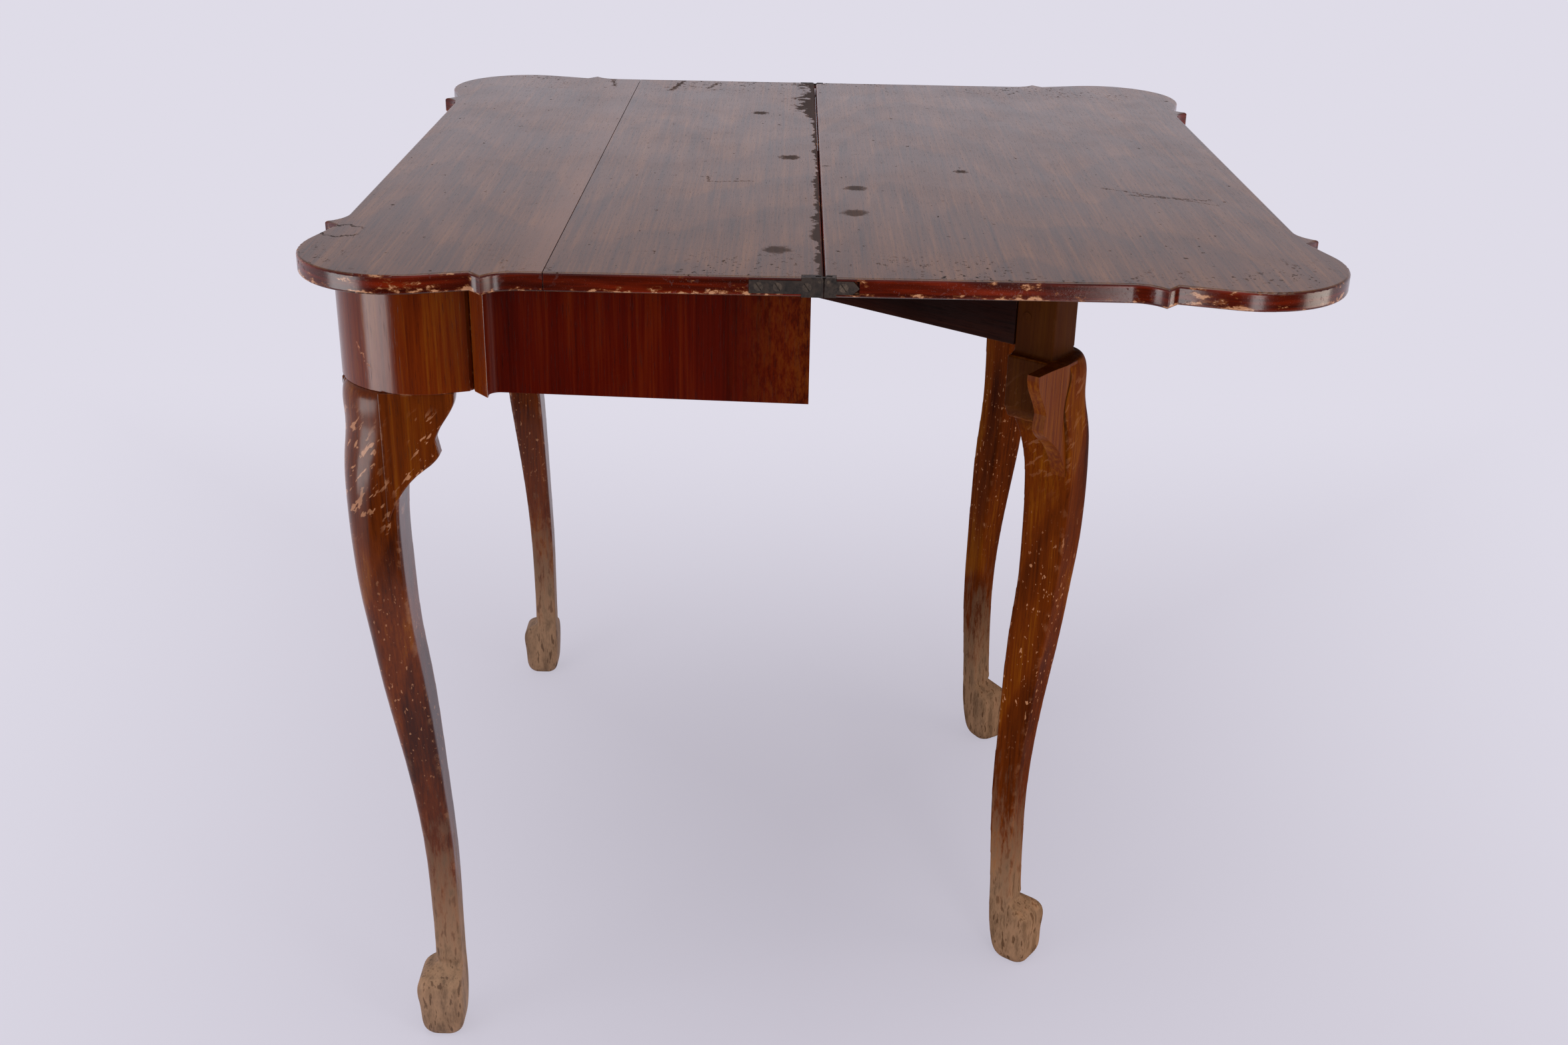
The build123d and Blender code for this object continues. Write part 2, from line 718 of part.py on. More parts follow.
def block_nails(clearance):
    """Nails from the back of the block into the back rail."""
    back = -gate_pivot_setback + gate_rail_thickness / 2
    nails = []
    for x in (-block_nail_end_distance, block_nail_end_distance):
        for share in block_nail_shares:
            z = gate_rail_bottom + gate_rail_height * share
            shank = Pos(0, 0, -block_nail_length / 2) * Cylinder(
                block_nail_radius + clearance, block_nail_length)
            nail = shank
            if not clearance:
                nail = shank + Pos(0, 0, block_nail_head_height / 2) * Cone(
                    block_nail_head_radius, block_nail_radius, block_nail_head_height)
            nails.append(Pos(x, back, z) * (Rot(-90, 0, 0) * nail))
    return nails


def back_rail():
    """Fixed back rail between the side rails, nailed to the gate block."""
    reach = rail_face_x - rail_thickness
    rail = box_between((-reach, back_rail_front, apron_bottom),
                       (reach, back_rail_back, top_underside))
    for nail in block_nails(joint_clearance / 4):
        rail = rail - nail
    return rail


def glue_blocks():
    """Bevelled blocks rubbed in under the top along the rails."""
    top = top_underside
    section = make_face(Polyline(
        (0, 0), (glue_block_width, 0), (glue_block_width, -glue_block_bevel),
        (glue_block_bevel, -glue_block_width), (0, -glue_block_width), close=True))
    block = extrude(Plane.YZ * section, amount=glue_block_length / 2, both=True)
    front_y = -rail_face_y + front_rail_thickness
    side_x = rail_face_x - rail_thickness
    blocks = []
    for share in cross_block_shares:
        blocks.append(Pos(share * apron_break_x, front_y, top) * block)
        blocks.append(Pos(share * apron_break_x, back_rail_front, top) * (Rot(0, 0, 180) * block))
    for share in side_block_shares:
        place_y = back_rail_front - share * (apron_break_y + back_rail_front)
        side = Pos(side_x, place_y, top) * (Rot(0, 0, 90) * block)
        blocks.append(side)
        blocks.append(mirrored_x(side))
    return blocks


def top_screws(clearance):
    """Screws up through the glue blocks into the top."""
    head_z = top_underside - glue_block_width
    one = Rot(180, 0, 0) * screw(top_screw_length, top_screw_shank_radius + clearance,
                                 top_screw_head_radius + clearance, top_screw_head_height)
    length_up = head_z + top_screw_length - top_screw_reach
    front_y = -rail_face_y + front_rail_thickness + glue_block_bevel
    back_y = back_rail_front - glue_block_bevel
    lift = Pos(0, 0, length_up - top_screw_length)
    screws = []
    for share in cross_block_shares:
        for y in (front_y, back_y):
            screws.append(lift * (Pos(share * apron_break_x, y, 0) * one))
    return screws


def save(name, shape):
    """Write one node."""
    solids = shape if isinstance(shape, list) else shape.solids()
    parts = []
    for item in solids:
        parts.extend(item.solids())
    whole = parts[0] if len(parts) == 1 else Compound(children=parts)
    export_step(whole, "parts/" + name + ".step")


def save_pair(name, shape):
    """Write a right-hand node and its mirror image on the left."""
    save(name + "_right", shape)
    save(name + "_left", mirrored_x(shape))


def swung_open(shape, swing):
    """Turn a closed right gate piece out by an angle."""
    pivot = Axis((gate_pivot_x, -gate_pivot_setback, 0), (0, 0, 1))
    return shape.rotate(pivot, swing)


def board_side(low, high):
    """Everything between two distances behind the joint of the boards, which runs a little askew."""
    reach = half_length + cut_overrun
    slab = box_between((-reach, low, top_underside), (reach, high, table_height))
    askew = -degrees(atan(board_joint_skew / half_length))
    return Pos(0, -board_joint_position, 0) * Rot(0, 0, askew) * slab


def build_top():
    """Boards of the fixed half, the flap and the hinges between them."""
    half = half_top()
    fixed = half
    for hole in top_screws(joint_clearance / 4):
        fixed = fixed - hole
    flap = mirror(half, about=Plane.XZ)
    fixed = cut_leaf_pockets(fixed, -1)
    save("top_front_board", fixed & board_side(-leaf_depth, -board_joint_gap / 2))
    save("top_back_board", fixed & board_side(board_joint_gap / 2, leaf_depth))
    save("flap_board", cut_leaf_pockets(flap, 1))
    for side, name, places in ((-1, "fixed", fixed_screw_places), (1, "flap", flap_screw_places)):
        save_pair("hinge_leaf_" + name, hinge_leaf(side))
        pin = hinge_pin(side, 0)
        save("hinge_pins_" + name, [pin, mirrored_x(pin)])
        screws = hinge_screws(places, side, 0)
        save("hinge_screws_" + name, screws + [mirrored_x(one) for one in screws])
    save_pair("hinge_link", hinge_link())


def build_frame():
    """Rails, turrets, front legs, glue blocks and the fixed middle of the gate joint."""
    apron = apron_solid()
    save_pair("turret", turret(apron))
    strip = side_break_strip(apron)
    save_pair("side_break_strip", strip)
    save_pair("front_break_strip", diagonal_swap(strip))
    save_pair("side_rail", side_rail(apron))
    save("front_rail", front_rail(apron))
    rough_leg = cabriole(apron_bottom, (0, 0), 1)
    save_pair("front_leg", front_leg(rough_leg))
    save_pair("side_knee_bracket", front_bracket(rough_leg, False))
    save_pair("front_knee_bracket", front_bracket(rough_leg, True))
    save("back_rail", back_rail())
    save("gate_hinge_block", gate_block())
    save("block_nails", block_nails(0))
    save_pair("gate_pin", gate_pin())
    blocks = []
    for block in glue_blocks():
        for hole in top_screws(joint_clearance / 4):
            block = block - hole
        blocks.append(block)
    save("glue_blocks", blocks)
    save("top_screws", top_screws(0))


def build_gates():
    """Both swinging gates in the open rest position."""
    rake = (gate_leg_rake_along, gate_leg_rake_across)
    rough_leg = cabriole(gate_leg_top, rake, gate_leg_crispness)
    closed_place = Pos(gate_closed_x, gate_closed_y, 0)
    leg = closed_place * gate_leg(rough_leg) - gate_tenon(joint_clearance)
    for peg in gate_pegs(joint_clearance / 4):
        leg = leg - peg
    outer = rail_face_x - gate_closed_x
    bracket = closed_place * knee_bracket(gate_leg_top, gate_leg(rough_leg), outer)
    pieces = {"gate_leg": [leg], "gate_knee_bracket": [bracket],
              "gate_rail": [gate_rail()], "gate_pegs": gate_pegs(0)}
    for name, solids in pieces.items():
        right = [swung_open(solid, gate_swing_right) for solid in solids]
        left = [mirrored_x(swung_open(solid, gate_swing_left)) for solid in solids]
        save(name + "_right", right)
        save(name + "_left", left)


os.makedirs("parts", exist_ok=True)
build_top()
build_frame()
build_gates()
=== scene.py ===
"""Looks of an old folding card table: worn polished wood, dark hinge metal, a studio and its camera."""

import json
import logging
import math
from dataclasses import dataclass, field
from enum import Enum
from typing import Sequence

import bmesh
import bpy
import numpy as np
from mathutils import Matrix, Vector, noise

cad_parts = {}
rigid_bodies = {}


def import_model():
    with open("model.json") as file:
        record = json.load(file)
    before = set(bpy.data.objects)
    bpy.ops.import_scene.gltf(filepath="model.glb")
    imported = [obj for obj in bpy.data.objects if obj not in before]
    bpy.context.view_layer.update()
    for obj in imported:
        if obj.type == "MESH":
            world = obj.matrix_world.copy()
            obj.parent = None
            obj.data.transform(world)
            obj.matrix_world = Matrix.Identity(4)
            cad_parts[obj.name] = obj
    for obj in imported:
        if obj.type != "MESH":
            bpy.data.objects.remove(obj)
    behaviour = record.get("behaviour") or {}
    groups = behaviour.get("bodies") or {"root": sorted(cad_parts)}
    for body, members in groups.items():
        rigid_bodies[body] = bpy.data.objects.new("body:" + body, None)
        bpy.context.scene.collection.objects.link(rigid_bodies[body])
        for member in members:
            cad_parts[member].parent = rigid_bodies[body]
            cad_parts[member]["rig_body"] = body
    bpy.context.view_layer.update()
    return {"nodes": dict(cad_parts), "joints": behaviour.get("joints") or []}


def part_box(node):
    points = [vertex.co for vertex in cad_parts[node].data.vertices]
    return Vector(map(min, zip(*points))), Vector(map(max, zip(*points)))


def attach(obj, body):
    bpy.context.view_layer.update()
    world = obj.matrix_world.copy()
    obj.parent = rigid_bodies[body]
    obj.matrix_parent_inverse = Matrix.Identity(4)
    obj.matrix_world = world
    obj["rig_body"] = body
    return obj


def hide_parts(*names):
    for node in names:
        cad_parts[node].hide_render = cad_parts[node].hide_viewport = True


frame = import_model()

LOG = logging.getLogger("card_table")

Colour = tuple[float, float, float]
Point = tuple[float, float, float]
Socket = bpy.types.NodeSocket

MM = 0.001
MERGE_DISTANCE = 0.002 * MM
FLAT_ANGLE = math.radians(0.3)
SHARP_ANGLE = math.radians(32)
SHADE_ANGLE = math.radians(38)
WEAR_ATTRIBUTE = "edge_wear"

# How fine each layer of the wood is, along the grain and across it, in waves per metre.
UNSTRETCHED = (1.0, 1.0, 1.0)
RING_WANDER = (1.6, 7.0, 7.0)
FIBRES = (9.0, 420.0, 420.0)
STREAKS = (3.0, 90.0, 90.0)
MOTTLING = (4.0, 14.0, 14.0)
PORES = (70.0, 1500.0, 1500.0)


def scaled(colour: Colour, share: float) -> Colour:
    """A colour made darker or lighter by a share."""
    return tuple(channel * share for channel in colour)


class Grain(Enum):
    """The row axis that a piece's grain follows."""

    ALONG_X = "x"
    ALONG_Y = "y"
    UPRIGHT = "z"


class Side(Enum):
    """A side of the table as seen from the front."""

    RIGHT = "right"
    LEFT = "left"


class Shader:
    """A material's node tree, with short ways to add the nodes that the finishes share."""

    def __init__(self, name: str) -> None:
        """Starts an empty material that ends in one principled surface.

        Args:
            name: The material's name.
        """
        self.material = bpy.data.materials.new(name)
        self.material.use_nodes = True
        self.tree = self.material.node_tree
        self.tree.nodes.clear()
        self.output = self.add("ShaderNodeOutputMaterial")
        self.surface = self.add("ShaderNodeBsdfPrincipled")
        self.join(self.surface.outputs["BSDF"], self.output.inputs["Surface"])
        self.coordinates = self.add("ShaderNodeTexCoord")
        self.x, self.y, self.z = self.axes(self.place)
        self.along: Socket = self.place
        self.colour: Socket | None = None
        self.dullness: Socket | None = None

    def lay(self, mask: Socket, tint: object) -> None:
        """Lays a tint over the colour so far.

        Args:
            mask: How much of the tint shows.
            tint: A colour or a socket.
        """
        self.colour = self.mix(mask, self.colour, tint)

    def dull(self, mask: Socket) -> None:
        """Notes where the polish is gone.

        Args:
            mask: 1 where the surface is matt.
        """
        self.dullness = self.largest(self.dullness, mask) if self.dullness else mask

    def add(self, kind: str, **settings: object) -> bpy.types.Node:
        """Adds a node.

        Args:
            kind: The node's type name.
            settings: Properties of the node to set.

        Returns:
            The new node.
        """
        node = self.tree.nodes.new(kind)
        for key, value in settings.items():
            setattr(node, key, value)
        return node

    def join(self, source: Socket, target: Socket) -> None:
        """Links an output to an input."""
        self.tree.links.new(source, target)

    def feed(self, target: Socket, value: object) -> None:
        """Links a socket to the input, or sets the input to a plain value.

        Args:
            target: The input socket.
            value: A socket, a number or a vector.
        """
        if isinstance(value, bpy.types.NodeSocket):
            self.join(value, target)
        else:
            target.default_value = value

    @property
    def place(self) -> Socket:
        """The point on the piece, in the row frame, in metres."""
        return self.coordinates.outputs["Object"]

    @property
    def facing(self) -> Socket:
        """The surface's normal in the row frame."""
        return self.coordinates.outputs["Normal"]

    def axes(self, vector: Socket) -> tuple[Socket, Socket, Socket]:
        """Splits a vector into its three numbers."""
        node = self.add("ShaderNodeSeparateXYZ")
        self.join(vector, node.inputs[0])
        return node.outputs[0], node.outputs[1], node.outputs[2]

    def maths(self, operation: str, a: object, b: object = 0.0, clamp: bool = False) -> Socket:
        """Adds a sum of two numbers.

        Args:
            operation: The node's operation.
            a: First number or socket.
            b: Second number or socket.
            clamp: Whether the result is kept from 0 to 1.

        Returns:
            The result's socket.
        """
        node = self.add("ShaderNodeMath", operation=operation, use_clamp=clamp)
        self.feed(node.inputs[0], a)
        self.feed(node.inputs[1], b)
        return node.outputs[0]

    def times(self, first: object, *others: object) -> Socket:
        """Multiplies numbers or sockets."""
        for other in others:
            first = self.maths("MULTIPLY", first, other)
        return first

    def plus(self, first: object, *others: object) -> Socket:
        """Adds up numbers or sockets."""
        for other in others:
            first = self.maths("ADD", first, other)
        return first

    def largest(self, first: object, *others: object) -> Socket:
        """Picks the largest of numbers or sockets."""
        for other in others:
            first = self.maths("MAXIMUM", first, other)
        return first

    def vector(self, operation: str, a: object, b: object) -> bpy.types.Node:
        """Adds a sum of two vectors and returns its node."""
        node = self.add("ShaderNodeVectorMath", operation=operation)
        self.feed(node.inputs[0], a)
        self.feed(node.inputs[1], b)
        return node

    def span(self, value: Socket, low: float, high: float, start: float = 0.0, end: float = 1.0) -> Socket:
        """Eases a value from start to end as it goes from low to high.

        Args:
            value: What is measured.
            low: Where the easing starts.
            high: Where it ends.
            start: The result up to low.
            end: The result past high.

        Returns:
            The eased value's socket.
        """
        flipped = low > high
        node = self.add("ShaderNodeMapRange", interpolation_type="SMOOTHSTEP")
        self.join(value, node.inputs["Value"])
        node.inputs["From Min"].default_value = min(low, high)
        node.inputs["From Max"].default_value = max(low, high)
        node.inputs["To Min"].default_value = end if flipped else start
        node.inputs["To Max"].default_value = start if flipped else end
        return node.outputs["Result"]

    def mapped(self, vector: Socket, scale: Point, turn: Point = (0.0, 0.0, 0.0)) -> Socket:
        """Turns and stretches a vector.

        Args:
            vector: The vector to change.
            scale: The stretch along each axis, made before the turn.
            turn: The turn about each axis, in radians.

        Returns:
            The changed vector's socket.
        """
        node = self.add("ShaderNodeMapping")
        self.join(vector, node.inputs["Vector"])
        node.inputs["Rotation"].default_value = turn
        node.inputs["Scale"].default_value = scale
        return node.outputs["Vector"]

    def cloud(self, vector: Socket, scale: float = 1.0, detail: float = 2.0, rough: float = 0.5,
              warp: float = 0.0) -> Socket:
        """Adds a noise pattern.

        Args:
            vector: Where the noise is read.
            scale: How fine it is.
            detail: How many finer layers it has.
            rough: How strong the finer layers are.
            warp: How much it is bent by itself.

        Returns:
            The noise's value.
        """
        node = self.add("ShaderNodeTexNoise")
        self.join(vector, node.inputs["Vector"])
        node.inputs["Scale"].default_value = scale
        node.inputs["Detail"].default_value = detail
        node.inputs["Roughness"].default_value = rough
        node.inputs["Distortion"].default_value = warp
        return node.outputs["Fac"]

    def ramp(self, value: Socket, stops: Sequence[tuple[float, Colour]]) -> Socket:
        """Turns a value into a colour.

        Args:
            value: The value, from 0 to 1.
            stops: Places from 0 to 1 with their colours.

        Returns:
            The colour's socket.
        """
        node = self.add("ShaderNodeValToRGB")
        elements = node.color_ramp.elements
        while len(elements) < len(stops):
            elements.new(1.0)
        for element, (place, colour) in zip(elements, stops):
            element.position = place
            element.color = (*colour, 1.0)
        self.join(value, node.inputs["Fac"])
        return node.outputs["Color"]

    def mix(self, share: object, a: object, b: object, blend: str = "MIX") -> Socket:
        """Mixes two colours.

        Args:
            share: How much of the second colour shows.
            a: First colour or socket.
            b: Second colour or socket.
            blend: How the two are combined.

        Returns:
            The mixed colour's socket.
        """
        node = self.add("ShaderNodeMix", data_type="RGBA", blend_type=blend)
        # The node keeps its two colours in inputs 6 and 7, and mixes them into output 2.
        self.feed(node.inputs[0], share)
        self.feed(node.inputs[6], a if isinstance(a, bpy.types.NodeSocket) else (*a, 1.0))
        self.feed(node.inputs[7], b if isinstance(b, bpy.types.NodeSocket) else (*b, 1.0))
        return node.outputs[2]

    def wear(self) -> Socket:
        """How worn the surface is, as kept on the mesh by the piece's maker."""
        return self.add("ShaderNodeAttribute", attribute_name=WEAR_ATTRIBUTE).outputs["Fac"]

    def relief(self, height: Socket, depth: float, strength: float = 1.0) -> None:
        """Gives the surface a fine relief.

        Args:
            height: The relief's height, from 0 to 1.
            depth: What a height of 1 means, in metres.
            strength: How strongly it shows.
        """
        node = self.add("ShaderNodeBump")
        node.inputs["Strength"].default_value = strength
        node.inputs["Distance"].default_value = depth
        self.join(height, node.inputs["Height"])
        self.join(node.outputs["Normal"], self.surface.inputs["Normal"])


@dataclass(frozen=True)
class Stroke:
    """A scratch, crack or drip along a straight line on the surface."""

    start: Point
    end: Point
    width: float
    strength: float = 1.0

    def mask(self, shader: Shader, place: Socket) -> Socket:
        """Where the stroke is.

        Args:
            shader: The material's nodes.
            place: The point on the piece.

        Returns:
            The stroke's strength on it and 0 away from it.
        """
        line = Vector(self.end) - Vector(self.start)
        from_start = shader.vector("SUBTRACT", place, self.start).outputs["Vector"]
        share = shader.vector("DOT_PRODUCT", from_start, tuple(line / line.length_squared))
        share = shader.maths("ADD", share.outputs["Value"], clamp=True)
        on_line = shader.add("ShaderNodeVectorMath", operation="SCALE")
        on_line.inputs[0].default_value = line
        shader.join(share, on_line.inputs["Scale"])
        away = shader.vector("DISTANCE", from_start, on_line.outputs["Vector"]).outputs["Value"]
        return shader.span(away, self.width * 0.7, self.width * 0.3, 0.0, self.strength)


@dataclass(frozen=True)
class Spot:
    """A round stain."""

    centre: Point
    radius: float
    strength: float = 1.0

    def mask(self, shader: Shader, place: Socket) -> Socket:
        """Where the spot is, from 0 away from it to its strength."""
        away = shader.vector("DISTANCE", place, self.centre).outputs["Value"]
        return shader.span(away, self.radius, self.radius * 0.45, 0.0, self.strength)


@dataclass(frozen=True)
class Ring:
    """The mark of a wet cup or tin, open on one side."""

    centre: Point
    radius: float
    width: float
    strength: float = 1.0

    def mask(self, shader: Shader, place: Socket) -> Socket:
        """Where the ring's line is, fading out towards +Y.

        Args:
            shader: The material's nodes.
            place: The point on the piece.

        Returns:
            The ring's strength on its line and 0 away from it.
        """
        away = shader.vector("DISTANCE", place, self.centre).outputs["Value"]
        off_line = shader.maths("ABSOLUTE", shader.maths("SUBTRACT", away, self.radius))
        line = shader.span(off_line, self.width, self.width * 0.3, 0.0, self.strength)
        across = shader.axes(place)[1]
        opening = shader.span(across, self.centre[1] + self.radius, self.centre[1] + self.radius * 0.5)
        return shader.times(line, opening)


Mark = Stroke | Spot | Ring


@dataclass(frozen=True)
class Palette:
    """The colours of one wood under its finish, from the dark lines to the light ones."""

    dark: Colour
    body: Colour
    light: Colour
    worn: Colour


@dataclass(frozen=True)
class Sawing:
    """How a piece was sawn from the tree, which sets its figure."""

    grain: Grain = Grain.ALONG_X
    turn: float = 0.0
    heart_across: float = 0.0
    heart_depth: float = 0.04
    tilt: float = 0.07
    ring: float = 0.011


@dataclass(frozen=True)
class WoodFinish:
    """Old polished wood: figure, fibres, pores, mottling, worn edges and its own marks."""

    name: str
    palette: Palette
    sawing: Sawing = Sawing()
    figure: float = 0.3
    fibre: float = 0.35
    mottle: float = 0.3
    pores: float = 0.5
    roughness: float = 0.34
    gloss: float = 0.3
    relief: float = 0.16 * MM
    edge_wear: float = 0.7
    dark_marks: tuple[Mark, ...] = ()
    pale_marks: tuple[Mark, ...] = ()
    raggedness: float = 9 * MM
    worn_roughness: float = 0.25
    dull_roughness: float = 0.8
    pore_roughness: float = 0.15
    pore_depth: float = 1.4
    dent_depth: float = 1.5
    relief_strength: float = 0.5

    def grain_place(self, shader: Shader) -> Socket:
        """The point on the piece with its first number along the grain.

        Args:
            shader: The material's nodes.

        Returns:
            The turned point's socket.
        """
        turn = {
            Grain.ALONG_X: (0.0, 0.0, -math.radians(self.sawing.turn)),
            Grain.ALONG_Y: (0.0, 0.0, -math.pi / 2),
            Grain.UPRIGHT: (0.0, math.pi / 2, 0.0),
        }[self.sawing.grain]
        return shader.mapped(shader.place, UNSTRETCHED, turn)

    def rings(self, shader: Shader) -> Socket:
        """The growth rings, as cones about the tree's heart.

        Args:
            shader: The material's nodes.

        Returns:
            A value that rises slowly through each ring and falls fast at its edge.
        """
        wander = shader.cloud(shader.mapped(shader.along, RING_WANDER), detail=2.0)
        u, v, _ = shader.axes(shader.along)
        across = shader.maths("SUBTRACT", v, self.sawing.heart_across)
        depth = shader.maths("MULTIPLY_ADD", u, self.sawing.tilt)
        depth.node.inputs[2].default_value = self.sawing.heart_depth
        across = shader.maths("POWER", shader.maths("ABSOLUTE", across), 2.0)
        depth = shader.maths("POWER", shader.maths("ABSOLUTE", depth), 2.0)
        radius = shader.maths("SQRT", shader.plus(across, depth))
        bent = shader.times(shader.maths("SUBTRACT", wander, 0.5), self.sawing.ring * 5)
        count = shader.maths("DIVIDE", shader.plus(radius, bent), self.sawing.ring)
        inside = shader.maths("FRACT", count)
        rise = shader.span(inside, 0.0, 0.82)
        fall = shader.span(inside, 1.0, 0.86)
        return shader.times(rise, fall)

    def tone(self, shader: Shader) -> Socket:
        """How light the wood is at each point, from 0 to 1.

        Args:
            shader: The material's nodes.

        Returns:
            The tone's socket.
        """
        total = shader.times(self.rings(shader), -self.figure)
        total = shader.plus(total, 0.5 + self.figure / 3)
        layers = (
            (self.fibre, shader.cloud(shader.mapped(shader.along, FIBRES), detail=3.0, rough=0.6)),
            (self.fibre * 0.6, shader.cloud(shader.mapped(shader.along, STREAKS), detail=2.0)),
            (self.mottle, shader.cloud(shader.mapped(shader.along, MOTTLING), detail=4.0, warp=0.5)),
        )
        for strength, layer in layers:
            total = shader.plus(total, shader.times(shader.maths("SUBTRACT", layer, 0.5), strength * 2))
        return total

    def pore_mask(self, shader: Shader) -> Socket:
        """Short dark pores along the grain."""
        fine = shader.cloud(shader.mapped(shader.along, PORES), detail=1.0)
        return shader.span(fine, 0.6, 0.74, 0.0, self.pores)

    def mark(self, shader: Shader, marks: Sequence[Mark], tint: Colour) -> None:
        """Lays ragged stains or scratches over the colour, and dulls them.

        Args:
            shader: The material's nodes.
            marks: The marks to lay on.
            tint: The marks' colour.
        """
        if not marks:
            return
        ragged = shader.add("ShaderNodeTexNoise")
        shader.join(shader.place, ragged.inputs["Vector"])
        ragged.inputs["Scale"].default_value = 190.0
        ragged.inputs["Detail"].default_value = 5.0
        ragged.inputs["Roughness"].default_value = 0.7
        offset = shader.vector("MULTIPLY_ADD", ragged.outputs["Color"], (2 * self.raggedness,) * 3)
        offset.inputs[2].default_value = (-self.raggedness,) * 3
        place = shader.vector("ADD", shader.place, offset.outputs["Vector"]).outputs["Vector"]
        total = shader.largest(*(mark.mask(shader, place) for mark in marks))
        shader.dull(total)
        shader.lay(total, tint)

    def weather(self, shader: Shader) -> None:
        """Hook for the changes that age made to this kind of piece."""

    def worn_share(self, shader: Shader) -> Socket:
        """Where the edges are rubbed through to pale wood."""
        patchy = shader.cloud(shader.place, scale=75.0, detail=5.0, rough=0.68)
        return shader.times(shader.wear(), shader.span(patchy, 0.50, 0.62), self.edge_wear)

    def material(self) -> bpy.types.Material:
        """Builds the material.

        Returns:
            The finished material.
        """
        shader = Shader(self.name)
        shader.along = self.grain_place(shader)
        tone = self.tone(shader)
        shader.colour = shader.ramp(tone, (
            (0.12, self.palette.dark), (0.5, self.palette.body), (0.88, self.palette.light)))
        pores = self.pore_mask(shader)
        shader.lay(pores, scaled(self.palette.dark, 0.35))
        worn = self.worn_share(shader)
        shader.lay(worn, self.palette.worn)
        self.weather(shader)
        self.mark(shader, self.pale_marks, self.palette.worn)
        self.mark(shader, self.dark_marks, scaled(self.palette.dark, 0.2))
        shader.join(shader.colour, shader.surface.inputs["Base Color"])
        cloudy = shader.cloud(shader.place, scale=14.0, detail=4.0, rough=0.6)
        rough = shader.span(cloudy, 0.25, 0.75, self.roughness * 0.85, self.roughness * 1.2)
        rough = shader.plus(rough, shader.times(worn, self.worn_roughness))
        if shader.dullness:
            rough = shader.plus(rough, shader.times(shader.dullness, self.dull_roughness))
        rough = shader.plus(rough, shader.times(pores, self.pore_roughness))
        shader.join(rough, shader.surface.inputs["Roughness"])
        shader.surface.inputs["Specular IOR Level"].default_value = self.gloss
        dents = shader.cloud(shader.place, scale=38.0, detail=3.0)
        height = shader.maths("SUBTRACT", tone, shader.times(pores, self.pore_depth))
        height = shader.plus(height, shader.times(dents, self.dent_depth))
        shader.relief(height, self.relief, self.relief_strength)
        return shader.material


